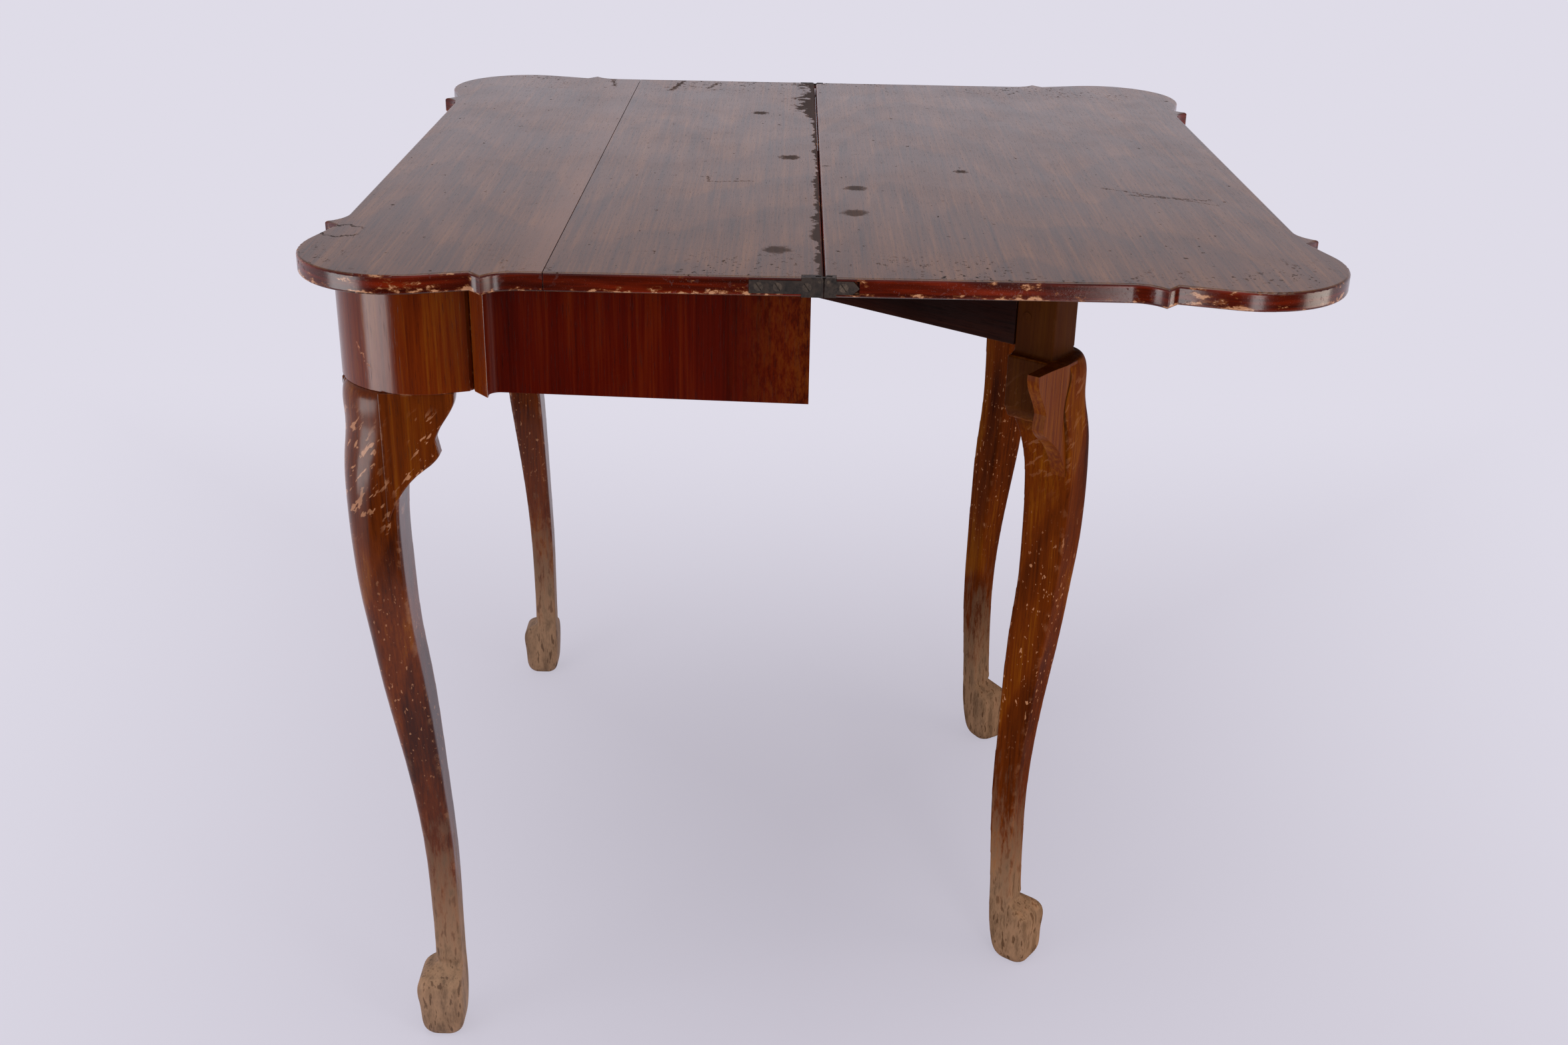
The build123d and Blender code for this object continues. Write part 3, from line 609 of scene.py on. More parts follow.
@dataclass(frozen=True)
class TopFinish(WoodFinish):
    """The playing surface: satin above, red-brown worn edges, plain unpolished wood below."""

    edge_colour: Colour = (0.062, 0.0045, 0.0003)
    under_colour: Colour = (0.075, 0.032, 0.014)
    speck_colour: Colour = (0.012, 0.007, 0.005)
    rare_speck_colour: Colour = (0.016, 0.009, 0.007)
    joint_colour: Colour = (0.20, 0.088, 0.045)
    rubbed_colour: Colour = (0.17, 0.050, 0.014)
    soot_colour: Colour = (0.010, 0.004, 0.002)
    stain_colour: Colour = (0.020, 0.010, 0.008)
    stain_strength: float = 0.0
    joint_place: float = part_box("top_front_board")[1].y
    joint_width: float = 50 * MM
    joint_warmth: float = 0.0

    def weather(self, shader: Shader) -> None:
        """Specks, hinge stain, warm streak beside the joint, edge band and plain underside.

        Args:
            shader: The material's nodes.
        """
        drift = shader.cloud(shader.place, scale=9.0, detail=3.0)
        self.speck(shader, drift)
        self.stain_hinge(shader, drift)
        beside_joint = (self.joint_place - self.joint_width, self.joint_place)
        warm = shader.span(shader.y, *beside_joint, 0.0, self.joint_warmth)
        shader.lay(shader.times(warm, shader.span(shader.x, -0.25, 0.25, 0.4, 1.0)), self.joint_colour)
        up = shader.axes(shader.facing)[2]
        streak = shader.cloud(shader.mapped(shader.place, (14.0, 14.0, 260.0)), detail=3.0)
        shader.lay(shader.span(up, 0.93, 0.55), self.edge_band(shader, streak))
        raw = shader.ramp(streak, ((0.25, scaled(self.under_colour, 0.6)), (0.7, self.under_colour)))
        shader.lay(shader.span(up, -0.4, -0.8), raw)

    def speck(self, shader: Shader, drift: Socket) -> None:
        """Lays many dark specks near the rims, and a few anywhere.

        Args:
            shader: The material's nodes.
            drift: A slow noise that gathers the specks.
        """
        fine = shader.cloud(shader.place, scale=210.0, detail=3.0, rough=0.7)
        near_rim = shader.span(shader.maths("ABSOLUTE", shader.x), 0.30, 0.385)
        dots = shader.times(shader.span(fine, 0.60, 0.64), near_rim, shader.span(drift, 0.42, 0.6))
        coarse = shader.cloud(shader.place, scale=120.0, detail=3.0)
        rare = shader.span(coarse, 0.715, 0.745, 0.0, 0.8)
        for specks, tint in ((dots, self.speck_colour), (rare, self.rare_speck_colour)):
            shader.dull(specks)
            shader.lay(specks, tint)

    def stain_hinge(self, shader: Shader, drift: Socket) -> None:
        """Lays the dark band along the hinge joint of the fixed half, wide towards the left end.

        Args:
            shader: The material's nodes.
            drift: A slow noise that makes the band's edge wander.
        """
        width = shader.span(shader.x, -0.16, -0.29, 5 * MM, 19 * MM)
        ragged = shader.cloud(shader.place, scale=70.0, detail=4.0, rough=0.65)
        width = shader.times(
            width, shader.span(drift, 0.3, 0.7, 0.6, 1.6), shader.span(ragged, 0.35, 0.65, 0.4, 1.5))
        reach = shader.maths("DIVIDE", shader.y, width)
        band = shader.span(reach, -1.0, -0.6, 0.0, self.stain_strength)
        stain = shader.times(band, shader.span(shader.y, 1 * MM, 0.0))
        shader.dull(stain)
        shader.lay(stain, self.stain_colour)

    def edge_band(self, shader: Shader, streak: Socket) -> Socket:
        """The red-brown edge, sooty in places, with chips along its foot.

        Args:
            shader: The material's nodes.
            streak: A noise of fine level lines.

        Returns:
            The edge's colour.
        """
        low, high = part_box("flap_board")
        edge = shader.ramp(streak, (
            (0.3, scaled(self.edge_colour, 0.45)), (0.5, self.edge_colour),
            (0.72, scaled(self.edge_colour, 2.3))))
        chips = shader.cloud(shader.mapped(shader.place, (75.0, 75.0, 170.0)), detail=5.0, rough=0.66)
        near_foot = shader.span(shader.z, low.z + 7 * MM, low.z + 1 * MM, 0.0, 0.12)
        near_head = shader.span(shader.z, high.z - 4 * MM, high.z - 1 * MM, 0.0, 0.03)
        gathered = shader.span(shader.cloud(shader.place, scale=8.0, detail=2.0), 0.4, 0.62, -0.06, 0.04)
        bite = shader.plus(chips, near_foot, near_head, gathered)
        edge = shader.mix(shader.span(bite, 0.575, 0.640, 0.0, 0.7), edge, self.rubbed_colour)
        edge = shader.mix(shader.span(bite, 0.640, 0.670, 0.0, 0.85), edge, self.palette.worn)
        soot = shader.span(shader.cloud(shader.place, scale=30.0, detail=3.0), 0.60, 0.72, 0.0, 0.5)
        return shader.mix(soot, edge, self.soot_colour)


@dataclass(frozen=True)
class ApronFinish(WoodFinish):
    """Upright veneer, mottled where a rail's end was handled."""

    golden_colour: Colour = (0.120, 0.026, 0.002)
    sooty_colour: Colour = (0.022, 0.006, 0.001)
    free_end: float = 0.0
    end_length: float = 0.0

    def weather(self, shader: Shader) -> None:
        """Golden and dark mottling towards the rail's free end.

        Args:
            shader: The material's nodes.
        """
        if not self.end_length:
            return
        near_end = shader.span(shader.y, self.free_end - self.end_length, self.free_end)
        blotch = shader.cloud(shader.mapped(shader.place, (90.0, 260.0, 110.0)), detail=5.0, rough=0.7)
        shader.lay(shader.times(near_end, shader.span(blotch, 0.35, 0.65, 0.0, 0.6)), self.golden_colour)
        shader.lay(shader.times(near_end, shader.span(blotch, 0.46, 0.34, 0.0, 0.45)), self.sooty_colour)


@dataclass(frozen=True)
class LegFinish(WoodFinish):
    """Polished leg that fades to bare rubbed wood at the foot, chipped and scratched above."""

    bare: Colour = (0.27, 0.160, 0.092)
    dirt_colour: Colour = (0.05, 0.022, 0.010)
    # Colour of the post above the crown and of the painted shade on the inward faces below it.
    dark_post_and_shade_colour: Colour = (0.030, 0.0085, 0.0018)
    scrape_turn: float = math.radians(38)
    bare_low: float = 0.06
    bare_high: float = 0.25
    knee_low: float = 0.50
    knee_high: float = 0.63
    knee_chips: float = 0.8
    fleck_low: float = 0.22
    fleck_high: float = 0.52
    flecks: float = 0.6
    crown: float = 0.0
    # How dark the post gets and how strong the painted shade on the inward faces is.
    dark_post_and_shade_share: float = 0.0
    shade_depth: float = 0.075

    def weather(self, shader: Shader) -> None:
        """Bare foot, scraped knee, flecks down the leg, and on top the post painted dark with painted
        shade on the inward faces below it.

        Args:
            shader: The material's nodes.
        """
        self.bare_foot(shader)
        shader.lay(self.knee_mask(shader), self.palette.worn)
        shader.lay(self.fleck_mask(shader), self.palette.worn)
        # Painted shade: the post above the crown is darkened, and the inward faces just below it are
        # shaded.
        shader.lay(self.dark_post_and_shade_mask(shader), self.dark_post_and_shade_colour)

    def bare_foot(self, shader: Shader) -> None:
        """Fades the polish out to bare dirty wood at the foot.

        Args:
            shader: The material's nodes.
        """
        drift = shader.cloud(shader.mapped(shader.along, (30.0, 130.0, 130.0)), detail=6.0, rough=0.72)
        height = shader.plus(shader.z, shader.times(shader.maths("SUBTRACT", drift, 0.5), 0.42))
        fade = shader.span(height, self.bare_high, self.bare_low)
        shader.lay(shader.times(fade, 0.92), shader.ramp(drift, (
            (0.36, scaled(self.bare, 0.5)), (0.52, self.bare), (0.7, scaled(self.bare, 1.35)))))
        dirt = shader.cloud(shader.mapped(shader.along, (60.0, 260.0, 260.0)), detail=3.0)
        shader.lay(shader.times(fade, shader.span(dirt, 0.56, 0.66, 0.0, 0.8)), self.dirt_colour)
        shader.dull(shader.times(fade, 0.5))

    def knee_mask(self, shader: Shader) -> Socket:
        """Where the knee is scraped, in slanting gathered chips.

        Args:
            shader: The material's nodes.

        Returns:
            The chips' strength on them and 0 between them.
        """
        tilted = shader.mapped(shader.place, UNSTRETCHED, (self.scrape_turn, 0.0, 0.0))
        scrape = shader.cloud(shader.mapped(tilted, (60.0, 210.0, 60.0)), detail=3.0, rough=0.6)
        gathered = shader.cloud(shader.place, scale=19.0, detail=2.0)
        return shader.times(
            shader.span(shader.z, self.knee_low, self.knee_low + 0.05),
            shader.span(shader.z, self.knee_high, self.knee_high - 0.02),
            shader.span(gathered, 0.36, 0.50),
            shader.span(scrape, 0.575, 0.60, 0.0, self.knee_chips))

    def fleck_mask(self, shader: Shader) -> Socket:
        """Where small pale flecks lie down the leg.

        Args:
            shader: The material's nodes.

        Returns:
            The flecks' strength on them and 0 between them.
        """
        small = shader.cloud(shader.mapped(shader.place, (330.0, 330.0, 170.0)), detail=2.0)
        return shader.times(
            shader.span(shader.z, self.fleck_low, self.fleck_low + 0.1),
            shader.span(shader.z, self.fleck_high, self.fleck_high - 0.1),
            shader.span(small, 0.66, 0.70, 0.0, self.flecks))

    def dark_post_and_shade_mask(self, shader: Shader) -> Socket:
        """Where the leg is painted dark: the post above its crown, and painted shade on the inward faces
        just below it.

        Args:
            shader: The material's nodes.

        Returns:
            The darkening share on the post, and the painted shade's share on the inward faces.
        """
        crown = shader.span(shader.z, self.crown, self.crown + 2 * MM, 0.0, self.dark_post_and_shade_share)
        # Painted shade: faces turned along X or towards -Y are darkened just below the crown, where shade
        # falls.
        nx, ny, _ = shader.axes(shader.facing)
        inward = shader.maths(
            "SUBTRACT", shader.times(shader.maths("ABSOLUTE", nx), 0.8), shader.times(ny, 0.6))
        foot = self.crown - self.shade_depth
        block = shader.times(
            shader.span(inward, 0.55, 0.85), shader.span(shader.z, foot, foot + 0.03), self.dark_post_and_shade_share)
        return shader.largest(crown, block)


@dataclass(frozen=True)
class MetalFinish:
    """Old dark metal with rubbed high spots."""

    name: str
    dark: Colour
    bright: Colour
    roughness: float
    metallic: float = 0.25
    relief: float = 0.03 * MM

    def material(self) -> bpy.types.Material:
        """Builds the material.

        Returns:
            The finished material.
        """
        shader = Shader(self.name)
        spots = shader.cloud(shader.place, scale=260.0, detail=5.0, rough=0.7)
        broad = shader.cloud(shader.place, scale=60.0, detail=2.0)
        colour = shader.ramp(spots, ((0.36, self.dark), (0.66, self.bright)))
        colour = shader.mix(shader.span(broad, 0.4, 0.65, 0.0, 0.6), colour, self.dark)
        shader.join(colour, shader.surface.inputs["Base Color"])
        rough = shader.span(spots, 0.3, 0.7, self.roughness + 0.2, self.roughness - 0.1)
        shader.join(rough, shader.surface.inputs["Roughness"])
        shader.surface.inputs["Metallic"].default_value = self.metallic
        shader.relief(spots, self.relief, 0.4)
        return shader.material


Finish = WoodFinish | MetalFinish


@dataclass
class FinishBook:
    """Makes each finish's material once."""

    made: dict[str, bpy.types.Material] = field(default_factory=dict)

    def of(self, finish: Finish) -> bpy.types.Material:
        """The material of a finish, built when it is first asked for.

        Args:
            finish: The finish.

        Returns:
            Its material.
        """
        if finish.name not in self.made:
            self.made[finish.name] = finish.material()
        return self.made[finish.name]


@dataclass
class SubAssembly:
    """What each sub-assembly shares: its finishes and the ways to make a worn piece from a node."""

    book: FinishBook
    bevel: float = 0.7 * MM
    bevel_steps: int = 2

    def merged(self, node: str) -> bmesh.types.BMesh:
        """A node's shape with its loose triangles joined and its flat faces whole.

        Args:
            node: The node's name.

        Returns:
            A new editable mesh.
        """
        shape = bmesh.new()
        shape.from_mesh(frame["nodes"][node].data)
        bmesh.ops.remove_doubles(shape, verts=shape.verts, dist=MERGE_DISTANCE)
        bmesh.ops.dissolve_limit(shape, angle_limit=FLAT_ANGLE, verts=shape.verts, edges=shape.edges)
        return shape

    def placed(self, shape: bmesh.types.BMesh, node: str, finish: Finish) -> bpy.types.Object:
        """Turns an edited shape into the piece that stands for a node.

        Args:
            shape: The edited shape, which is freed.
            node: The node that it stands for.
            finish: The piece's finish.

        Returns:
            The new piece, riding on the node's body.
        """
        mesh = bpy.data.meshes.new(node + "_worn")
        shape.to_mesh(mesh)
        shape.free()
        piece = bpy.data.objects.new(node + "_worn", mesh)
        bpy.context.scene.collection.objects.link(piece)
        mesh.materials.append(self.book.of(finish))
        body = frame["nodes"][node]["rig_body"]
        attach(piece, body)
        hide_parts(node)
        LOG.info("made %s with %d faces", piece.name, len(mesh.polygons))
        return piece

    def soften(self, shape: bmesh.types.BMesh) -> None:
        """Rounds the outward edges a little and notes them as worn.

        Args:
            shape: The shape to change.
        """
        wear = shape.loops.layers.float.new(WEAR_ATTRIBUTE)
        sharp = [edge for edge in shape.edges
                 if edge.is_manifold and edge.calc_face_angle_signed(0.0) > SHARP_ANGLE]
        made = bmesh.ops.bevel(
            shape, geom=sharp, offset=self.bevel, offset_type="OFFSET", affect="EDGES",
            segments=self.bevel_steps, profile=0.5, material=-1, clamp_overlap=True)
        for face in made["faces"]:
            for loop in face.loops:
                loop[wear] = 1.0

    def shade(self, piece: bpy.types.Object) -> None:
        """Shades the curved faces smoothly and keeps the flat ones flat.

        Args:
            piece: The piece to shade.
        """
        piece.data.shade_smooth()
        piece.data.set_sharp_from_angle(angle=SHADE_ANGLE)
        weighted = piece.modifiers.new("flat faces", "WEIGHTED_NORMAL")
        weighted.keep_sharp = True

    def joinery(self, node: str, finish: WoodFinish) -> bpy.types.Object:
        """A sawn piece with softened edges.

        Args:
            node: The node that it stands for.
            finish: The piece's finish.

        Returns:
            The new piece.
        """
        shape = self.merged(node)
        self.soften(shape)
        piece = self.placed(shape, node, finish)
        self.shade(piece)
        return piece

    def dressed(self, node: str, finish: Finish) -> bpy.types.Object:
        """Gives a node its finish and leaves its shape alone.

        Args:
            node: The node's name.
            finish: The finish.

        Returns:
            The node's object.
        """
        piece = frame["nodes"][node]
        piece.data.materials.clear()
        piece.data.materials.append(self.book.of(finish))
        LOG.info("dressed %s", node)
        return piece


@dataclass
class Carving:
    """Turns a solid into a hand-worked one: an even skin, rounded edges and shallow dents."""

    grid: float = 1.6 * MM
    smoothing: int = 2
    dent: float = 0.12 * MM
    dent_size: float = 0.022
    soft_bend: float = 35.0
    hard_bend: float = 120.0
    spreading: int = 2

    def skin(self, piece: bpy.types.Object) -> None:
        """Replaces a piece's mesh by an even one, then smooths and dents it.

        Args:
            piece: The piece, whose mesh is merged and closed.
        """
        remesh = piece.modifiers.new("even skin", "REMESH")
        remesh.mode = "VOXEL"
        remesh.voxel_size = self.grid
        graph = bpy.context.evaluated_depsgraph_get()
        mesh = bpy.data.meshes.new_from_object(piece.evaluated_get(graph))
        piece.modifiers.remove(remesh)
        material = piece.data.materials[0]
        old, piece.data = piece.data, mesh
        mesh.name = old.name
        bpy.data.meshes.remove(old)
        if not mesh.materials:
            mesh.materials.append(material)
        self.work_surface(mesh)
        self.note_wear(mesh)
        mesh.shade_smooth()

    def work_surface(self, mesh: bpy.types.Mesh) -> None:
        """Smooths the skin and gives it shallow dents, inwards only.

        Args:
            mesh: The mesh to change.
        """
        shape = bmesh.new()
        shape.from_mesh(mesh)
        floor = min(vert.co.z for vert in shape.verts)
        for _ in range(self.smoothing):
            bmesh.ops.smooth_vert(shape, verts=shape.verts, factor=0.5,
                                  use_axis_x=True, use_axis_y=True, use_axis_z=True)
        shape.normal_update()
        for vert in shape.verts:
            depth = 0.5 + 0.5 * noise.noise(vert.co / self.dent_size)
            vert.co -= vert.normal * self.dent * max(0.0, min(1.0, depth))
            vert.co.z = max(vert.co.z, floor, 0.0)
        shape.to_mesh(mesh)
        shape.free()

    def note_wear(self, mesh: bpy.types.Mesh) -> None:
        """Keeps on the mesh how strongly it bulges, because bulges wear first.

        Args:
            mesh: The mesh to measure.
        """
        count = len(mesh.vertices)
        places = np.zeros(count * 3)
        mesh.vertices.foreach_get("co", places)
        places = places.reshape(-1, 3)
        normals = np.zeros(count * 3)
        mesh.vertices.foreach_get("normal", normals)
        normals = normals.reshape(-1, 3)
        ends = np.zeros(len(mesh.edges) * 2, int)
        mesh.edges.foreach_get("vertices", ends)
        first, second = ends.reshape(-1, 2).T
        step = places[second] - places[first]
        length = (step * step).sum(1) + 1e-12
        bend = ((normals[second] - normals[first]) * step).sum(1) / length
        touching = np.bincount(first, minlength=count) + np.bincount(second, minlength=count)
        touching = np.maximum(touching, 1)
        total = np.bincount(first, bend, count) + np.bincount(second, bend, count)
        bulge = total / touching
        for _ in range(self.spreading):
            spread = np.bincount(first, bulge[second], count) + np.bincount(second, bulge[first], count)
            bulge = 0.5 * bulge + 0.5 * spread / touching
        worn = np.clip((bulge - self.soft_bend) / (self.hard_bend - self.soft_bend), 0.0, 1.0)
        attribute = mesh.attributes.get(WEAR_ATTRIBUTE)
        attribute = attribute or mesh.attributes.new(WEAR_ATTRIBUTE, "FLOAT", "POINT")
        attribute.data.foreach_set("value", worn.astype(np.float32))


TOP_WOOD = Palette(
    dark=(0.032, 0.0105, 0.0025), body=(0.082, 0.0270, 0.0055), light=(0.150, 0.056, 0.013),
    worn=(0.46, 0.23, 0.12))
APRON_WOOD = Palette(
    dark=(0.020, 0.0009, 0.0002), body=(0.056, 0.0027, 0.0003), light=(0.105, 0.0125, 0.0010),
    worn=(0.36, 0.13, 0.05))
TURRET_WOOD = Palette(
    dark=(0.045, 0.0035, 0.0003), body=(0.115, 0.0155, 0.0008), light=(0.200, 0.056, 0.003),
    worn=(0.42, 0.17, 0.08))
LEG_WOOD = Palette(
    dark=(0.034, 0.0050, 0.0002), body=(0.102, 0.0175, 0.0005), light=(0.205, 0.060, 0.002),
    worn=(0.40, 0.185, 0.090))
GATE_WOOD = Palette(
    dark=(0.006, 0.0010, 0.0004), body=(0.016, 0.0026, 0.0010), light=(0.036, 0.008, 0.003),
    worn=(0.10, 0.04, 0.018))
INNER_WOOD = Palette(
    dark=(0.035, 0.016, 0.008), body=(0.070, 0.032, 0.015), light=(0.11, 0.055, 0.026),
    worn=(0.2, 0.11, 0.06))
HINGE_METAL = MetalFinish("dark hinge metal", (0.008, 0.004, 0.003), (0.050, 0.030, 0.020), 0.6)
IRON = MetalFinish("old iron", (0.025, 0.015, 0.010), (0.12, 0.085, 0.060), 0.5)


@dataclass
class TableTop(SubAssembly):
    """The two boards of the fixed half and the board of the flap."""

    bevel: float = 0.35 * MM
    height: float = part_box("flap_board")[1].z

    def dark_marks(self) -> tuple[Mark, ...]:
        """The stains and scratches on the playing surface, where the years left them."""
        z = self.height
        return (
            Spot((0.115, 0.031, z), 0.012, 0.55),
            Spot((0.202, 0.028, z), 0.014, 0.55),
            Spot((0.042, 0.130, z), 0.008, 0.7),
            Spot((-0.003, -0.027, z), 0.012, 0.7),
            Spot((-0.212, -0.059, z), 0.010, 0.6),
            Spot((0.320, -0.035, z), 0.014, 0.6),
            Ring((0.289, -0.377, z), 0.017, 1.6 * MM, 0.9),
            Stroke((0.080, -0.100, z), (0.100, -0.098, z), 2.5 * MM, 0.6),
            Stroke((0.100, -0.098, z), (0.096, -0.060, z), 2.5 * MM, 0.6),
            Stroke((0.095, 0.250, z), (0.150, 0.340, z), 2.2 * MM, 0.55),
            Stroke((0.120, 0.270, z), (0.135, 0.335, z), 3.2 * MM, 0.5),
            Stroke((-0.385, -0.150, z), (-0.330, -0.160, z), 5 * MM, 0.7),
            Stroke((-0.380, -0.110, z), (-0.345, -0.120, z), 4 * MM, 0.6),
            Stroke((-0.390, -0.230, z), (-0.350, -0.225, z), 4 * MM, 0.6),
        )

    def finish(self, name: str, heart: float, stain: float = 0.0, warmth: float = 0.0) -> TopFinish:
        """One board's finish.

        Args:
            name: The material's name.
            heart: Where the tree's heart lies under the board, across it.
            stain: How dark the band along the hinge joint is.
            warmth: How much lighter the wood is beside the joint of the two boards.

        Returns:
            The finish.
        """
        return TopFinish(
            name=name, palette=TOP_WOOD,
            sawing=Sawing(Grain.ALONG_X, heart_across=heart, heart_depth=-0.66, tilt=0.09, ring=0.014),
            figure=0.17, fibre=0.50, mottle=0.10, pores=0.7, roughness=0.19, gloss=0.38, relief=0.03 * MM,
            dark_marks=self.dark_marks(), stain_strength=stain, joint_warmth=warmth)

    def build(self) -> None:
        """Makes the three boards."""
        self.joinery("top_front_board", self.finish("front board", -0.30, warmth=0.5))
        self.joinery("top_back_board", self.finish("back board", -0.085, stain=0.85))
        self.joinery("flap_board", self.finish("flap board", 0.16))


@dataclass
class Apron(SubAssembly):
    """Rails, round turrets and the pointed strips between them."""

    bevel: float = 0.8 * MM

    handled_length: float = 70 * MM

    def turret_finish(self) -> ApronFinish:
        """Orange-brown upright veneer with a long pale scratch."""
        return ApronFinish(
            name="turret veneer", palette=TURRET_WOOD, sawing=Sawing(Grain.UPRIGHT, ring=0.02),
            figure=0.08, fibre=0.36, mottle=0.3, pores=0.5, roughness=0.17, gloss=0.3, edge_wear=0.6,
            relief=0.04 * MM,
            pale_marks=(Stroke((0.372, -0.352, 0.675), (0.379, -0.334, 0.645), 1.6 * MM, 0.8),))

    def rail_finish(self, name: str, handled_length: float = 0.0) -> ApronFinish:
        """Deep red-brown upright veneer.

        Args:
            name: The material's name.
            handled_length: How far the handled free end reaches along the rail.

        Returns:
            The finish.
        """
        return ApronFinish(
            name=name, palette=APRON_WOOD, sawing=Sawing(Grain.UPRIGHT, ring=0.02),
            figure=0.05, fibre=0.34, mottle=0.22, pores=0.5, roughness=0.3, gloss=0.05, edge_wear=0.5,
            free_end=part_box("side_rail_right")[1].y, end_length=handled_length)

    def build(self) -> None:
        """Makes the apron's outer pieces."""
        self.joinery("front_rail", self.rail_finish("front rail veneer"))
        for side in Side:
            self.joinery(f"turret_{side.value}", self.turret_finish())
            self.joinery(f"side_rail_{side.value}", self.rail_finish("rail veneer", self.handled_length))
            self.joinery(f"side_break_strip_{side.value}", self.turret_finish())
            self.joinery(f"front_break_strip_{side.value}", self.turret_finish())


@dataclass
class InnerWork(SubAssembly):
    """The plain woodwork under the top, its nails and its screws."""

    bevel: float = 0.6 * MM

    def finish(self) -> WoodFinish:
        """Plain wood, dulled and darkened."""
        return WoodFinish(
            name="plain inner wood", palette=INNER_WOOD, sawing=Sawing(Grain.ALONG_X, ring=0.012),
            figure=0.3, fibre=0.5, mottle=0.4, roughness=0.62, gloss=0.2)

    def build(self) -> None:
        """Makes the inner pieces."""
        for node in ("back_rail", "gate_hinge_block", "glue_blocks"):
            self.joinery(node, self.finish())
        for node in ("block_nails", "top_screws", "gate_pin_right", "gate_pin_left"):
            self.dressed(node, IRON)


@dataclass
class FrontLegs(SubAssembly):
    """The two fixed legs and their knee brackets."""

    carving: Carving = field(default_factory=Carving)
    fine_carving: Carving = field(default_factory=lambda: Carving(grid=0.8 * MM, smoothing=1))

    def finish(self) -> LegFinish:
        """Golden-brown polished wood, bare at the foot."""
        return LegFinish(
            name="front leg wood", palette=LEG_WOOD,
            sawing=Sawing(Grain.UPRIGHT, heart_across=-0.32, heart_depth=0.33, tilt=0.04, ring=0.012),
            figure=0.2, fibre=0.36, mottle=0.6, pores=0.5, roughness=0.2, gloss=0.24, edge_wear=0.22,
            relief=0.03 * MM)

    def carve(self, node: str, finish: WoodFinish, carving: Carving,
              plugs: Sequence[str] = ()) -> bpy.types.Object:
        """A carved piece.

        Args:
            node: The node that it stands for.
            finish: The piece's finish.
            carving: How it is worked.
            plugs: Nodes driven into it, which its skin runs over without a gap.

        Returns:
            The new piece.
        """
        shape = self.merged(node)
        for plug in plugs:
            shape.from_mesh(frame["nodes"][plug].data)
        piece = self.placed(shape, node, finish)
        carving.skin(piece)
        return piece

    def build(self) -> None:
        """Makes the legs and brackets of both sides."""
        for side in Side:
            self.carve(f"front_leg_{side.value}", self.finish(), self.carving)
            self.carve(f"side_knee_bracket_{side.value}", self.finish(), self.fine_carving)
            self.carve(f"front_knee_bracket_{side.value}", self.finish(), self.fine_carving)


@dataclass
class Gates(FrontLegs):
    """The swinging rails and legs that carry the flap."""

    sawing: Sawing = Sawing(Grain.UPRIGHT, heart_across=0.19, heart_depth=0.24, tilt=0.04, ring=0.012)

    def leg_finish(self) -> LegFinish:
        """Redder leg with pale flecks and dull bare wood at the foot."""
        return LegFinish(
            name="gate leg wood", palette=LEG_WOOD, sawing=self.sawing,
            figure=0.2, fibre=0.36, mottle=0.6, pores=0.5, roughness=0.55, gloss=0.02, edge_wear=0.12,
            relief=0.08 * MM, knee_chips=0.2, flecks=0.9, bare_low=0.05, bare_high=0.22,
            # The post above the bracket is painted dark, and the block's inward faces below it carry
            # painted shade.
            crown=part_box("gate_knee_bracket_right")[1].z - 1 * MM, dark_post_and_shade_share=0.8)

    def bracket_finish(self) -> LegFinish:
        """Golden-brown scroll beside the leg's block, whose inward faces carry painted shade."""
        return LegFinish(
            name="gate bracket wood", palette=LEG_WOOD, sawing=self.sawing,
            figure=0.2, fibre=0.4, mottle=0.4, roughness=0.34, gloss=0.05, edge_wear=0.3, knee_chips=0.0)

    def rail_finish(self, side: Side) -> WoodFinish:
        """Dark matt rail, its grain along its own length.

        Args:
            side: Which gate.

        Returns:
            The finish.
        """
        joint = next(j for j in frame["joints"] if j["name"] == f"gate_swing_{side.value}")
        turn = -max(joint["range_deg"], key=abs)
        return WoodFinish(
            name=f"gate rail wood {side.value}", palette=GATE_WOOD,
            sawing=Sawing(Grain.ALONG_X, turn=turn, ring=0.012),
            figure=0.2, fibre=0.4, mottle=0.4, roughness=0.6, gloss=0.05)

    def build(self) -> None:
        """Makes both gates."""
        for side in Side:
            self.joinery(f"gate_rail_{side.value}", self.rail_finish(side))
            pegs = f"gate_pegs_{side.value}"
            self.carve(f"gate_leg_{side.value}", self.leg_finish(), self.carving, (pegs,))
            self.joinery(f"gate_knee_bracket_{side.value}", self.bracket_finish())
            self.dressed(pegs, self.leg_finish())


@dataclass
class TopHinges(SubAssembly):
    """Hinge leaves, links, pins and screws at the ends of the joint."""

    def build(self) -> None:
        """Dresses the hinges."""
        for side in Side:
            for part in ("hinge_leaf_fixed", "hinge_leaf_flap", "hinge_link"):
                self.dressed(f"{part}_{side.value}", HINGE_METAL)
        for node in ("hinge_pins_fixed", "hinge_pins_flap", "hinge_screws_fixed", "hinge_screws_flap"):
            self.dressed(node, IRON)


@dataclass
class Lamp:
    """One soft studio lamp."""

    name: str
    place: Point
    target: Point
    width: float
    height: float
    power: float
    colour: Colour = (1.0, 1.0, 1.0)

    def build(self) -> None:
        """Hangs the lamp, facing its target and out of every camera's sight."""
        data = bpy.data.lights.new(self.name, "AREA")
        data.shape = "RECTANGLE"
        data.size = self.width
        data.size_y = self.height
        data.energy = self.power
        data.color = self.colour
        lamp = bpy.data.objects.new(self.name, data)
        lamp.location = self.place
        aim = Vector(self.target) - Vector(self.place)
        lamp.rotation_euler = aim.to_track_quat("-Z", "Y").to_euler()
        lamp.visible_camera = False
        bpy.context.scene.collection.objects.link(lamp)


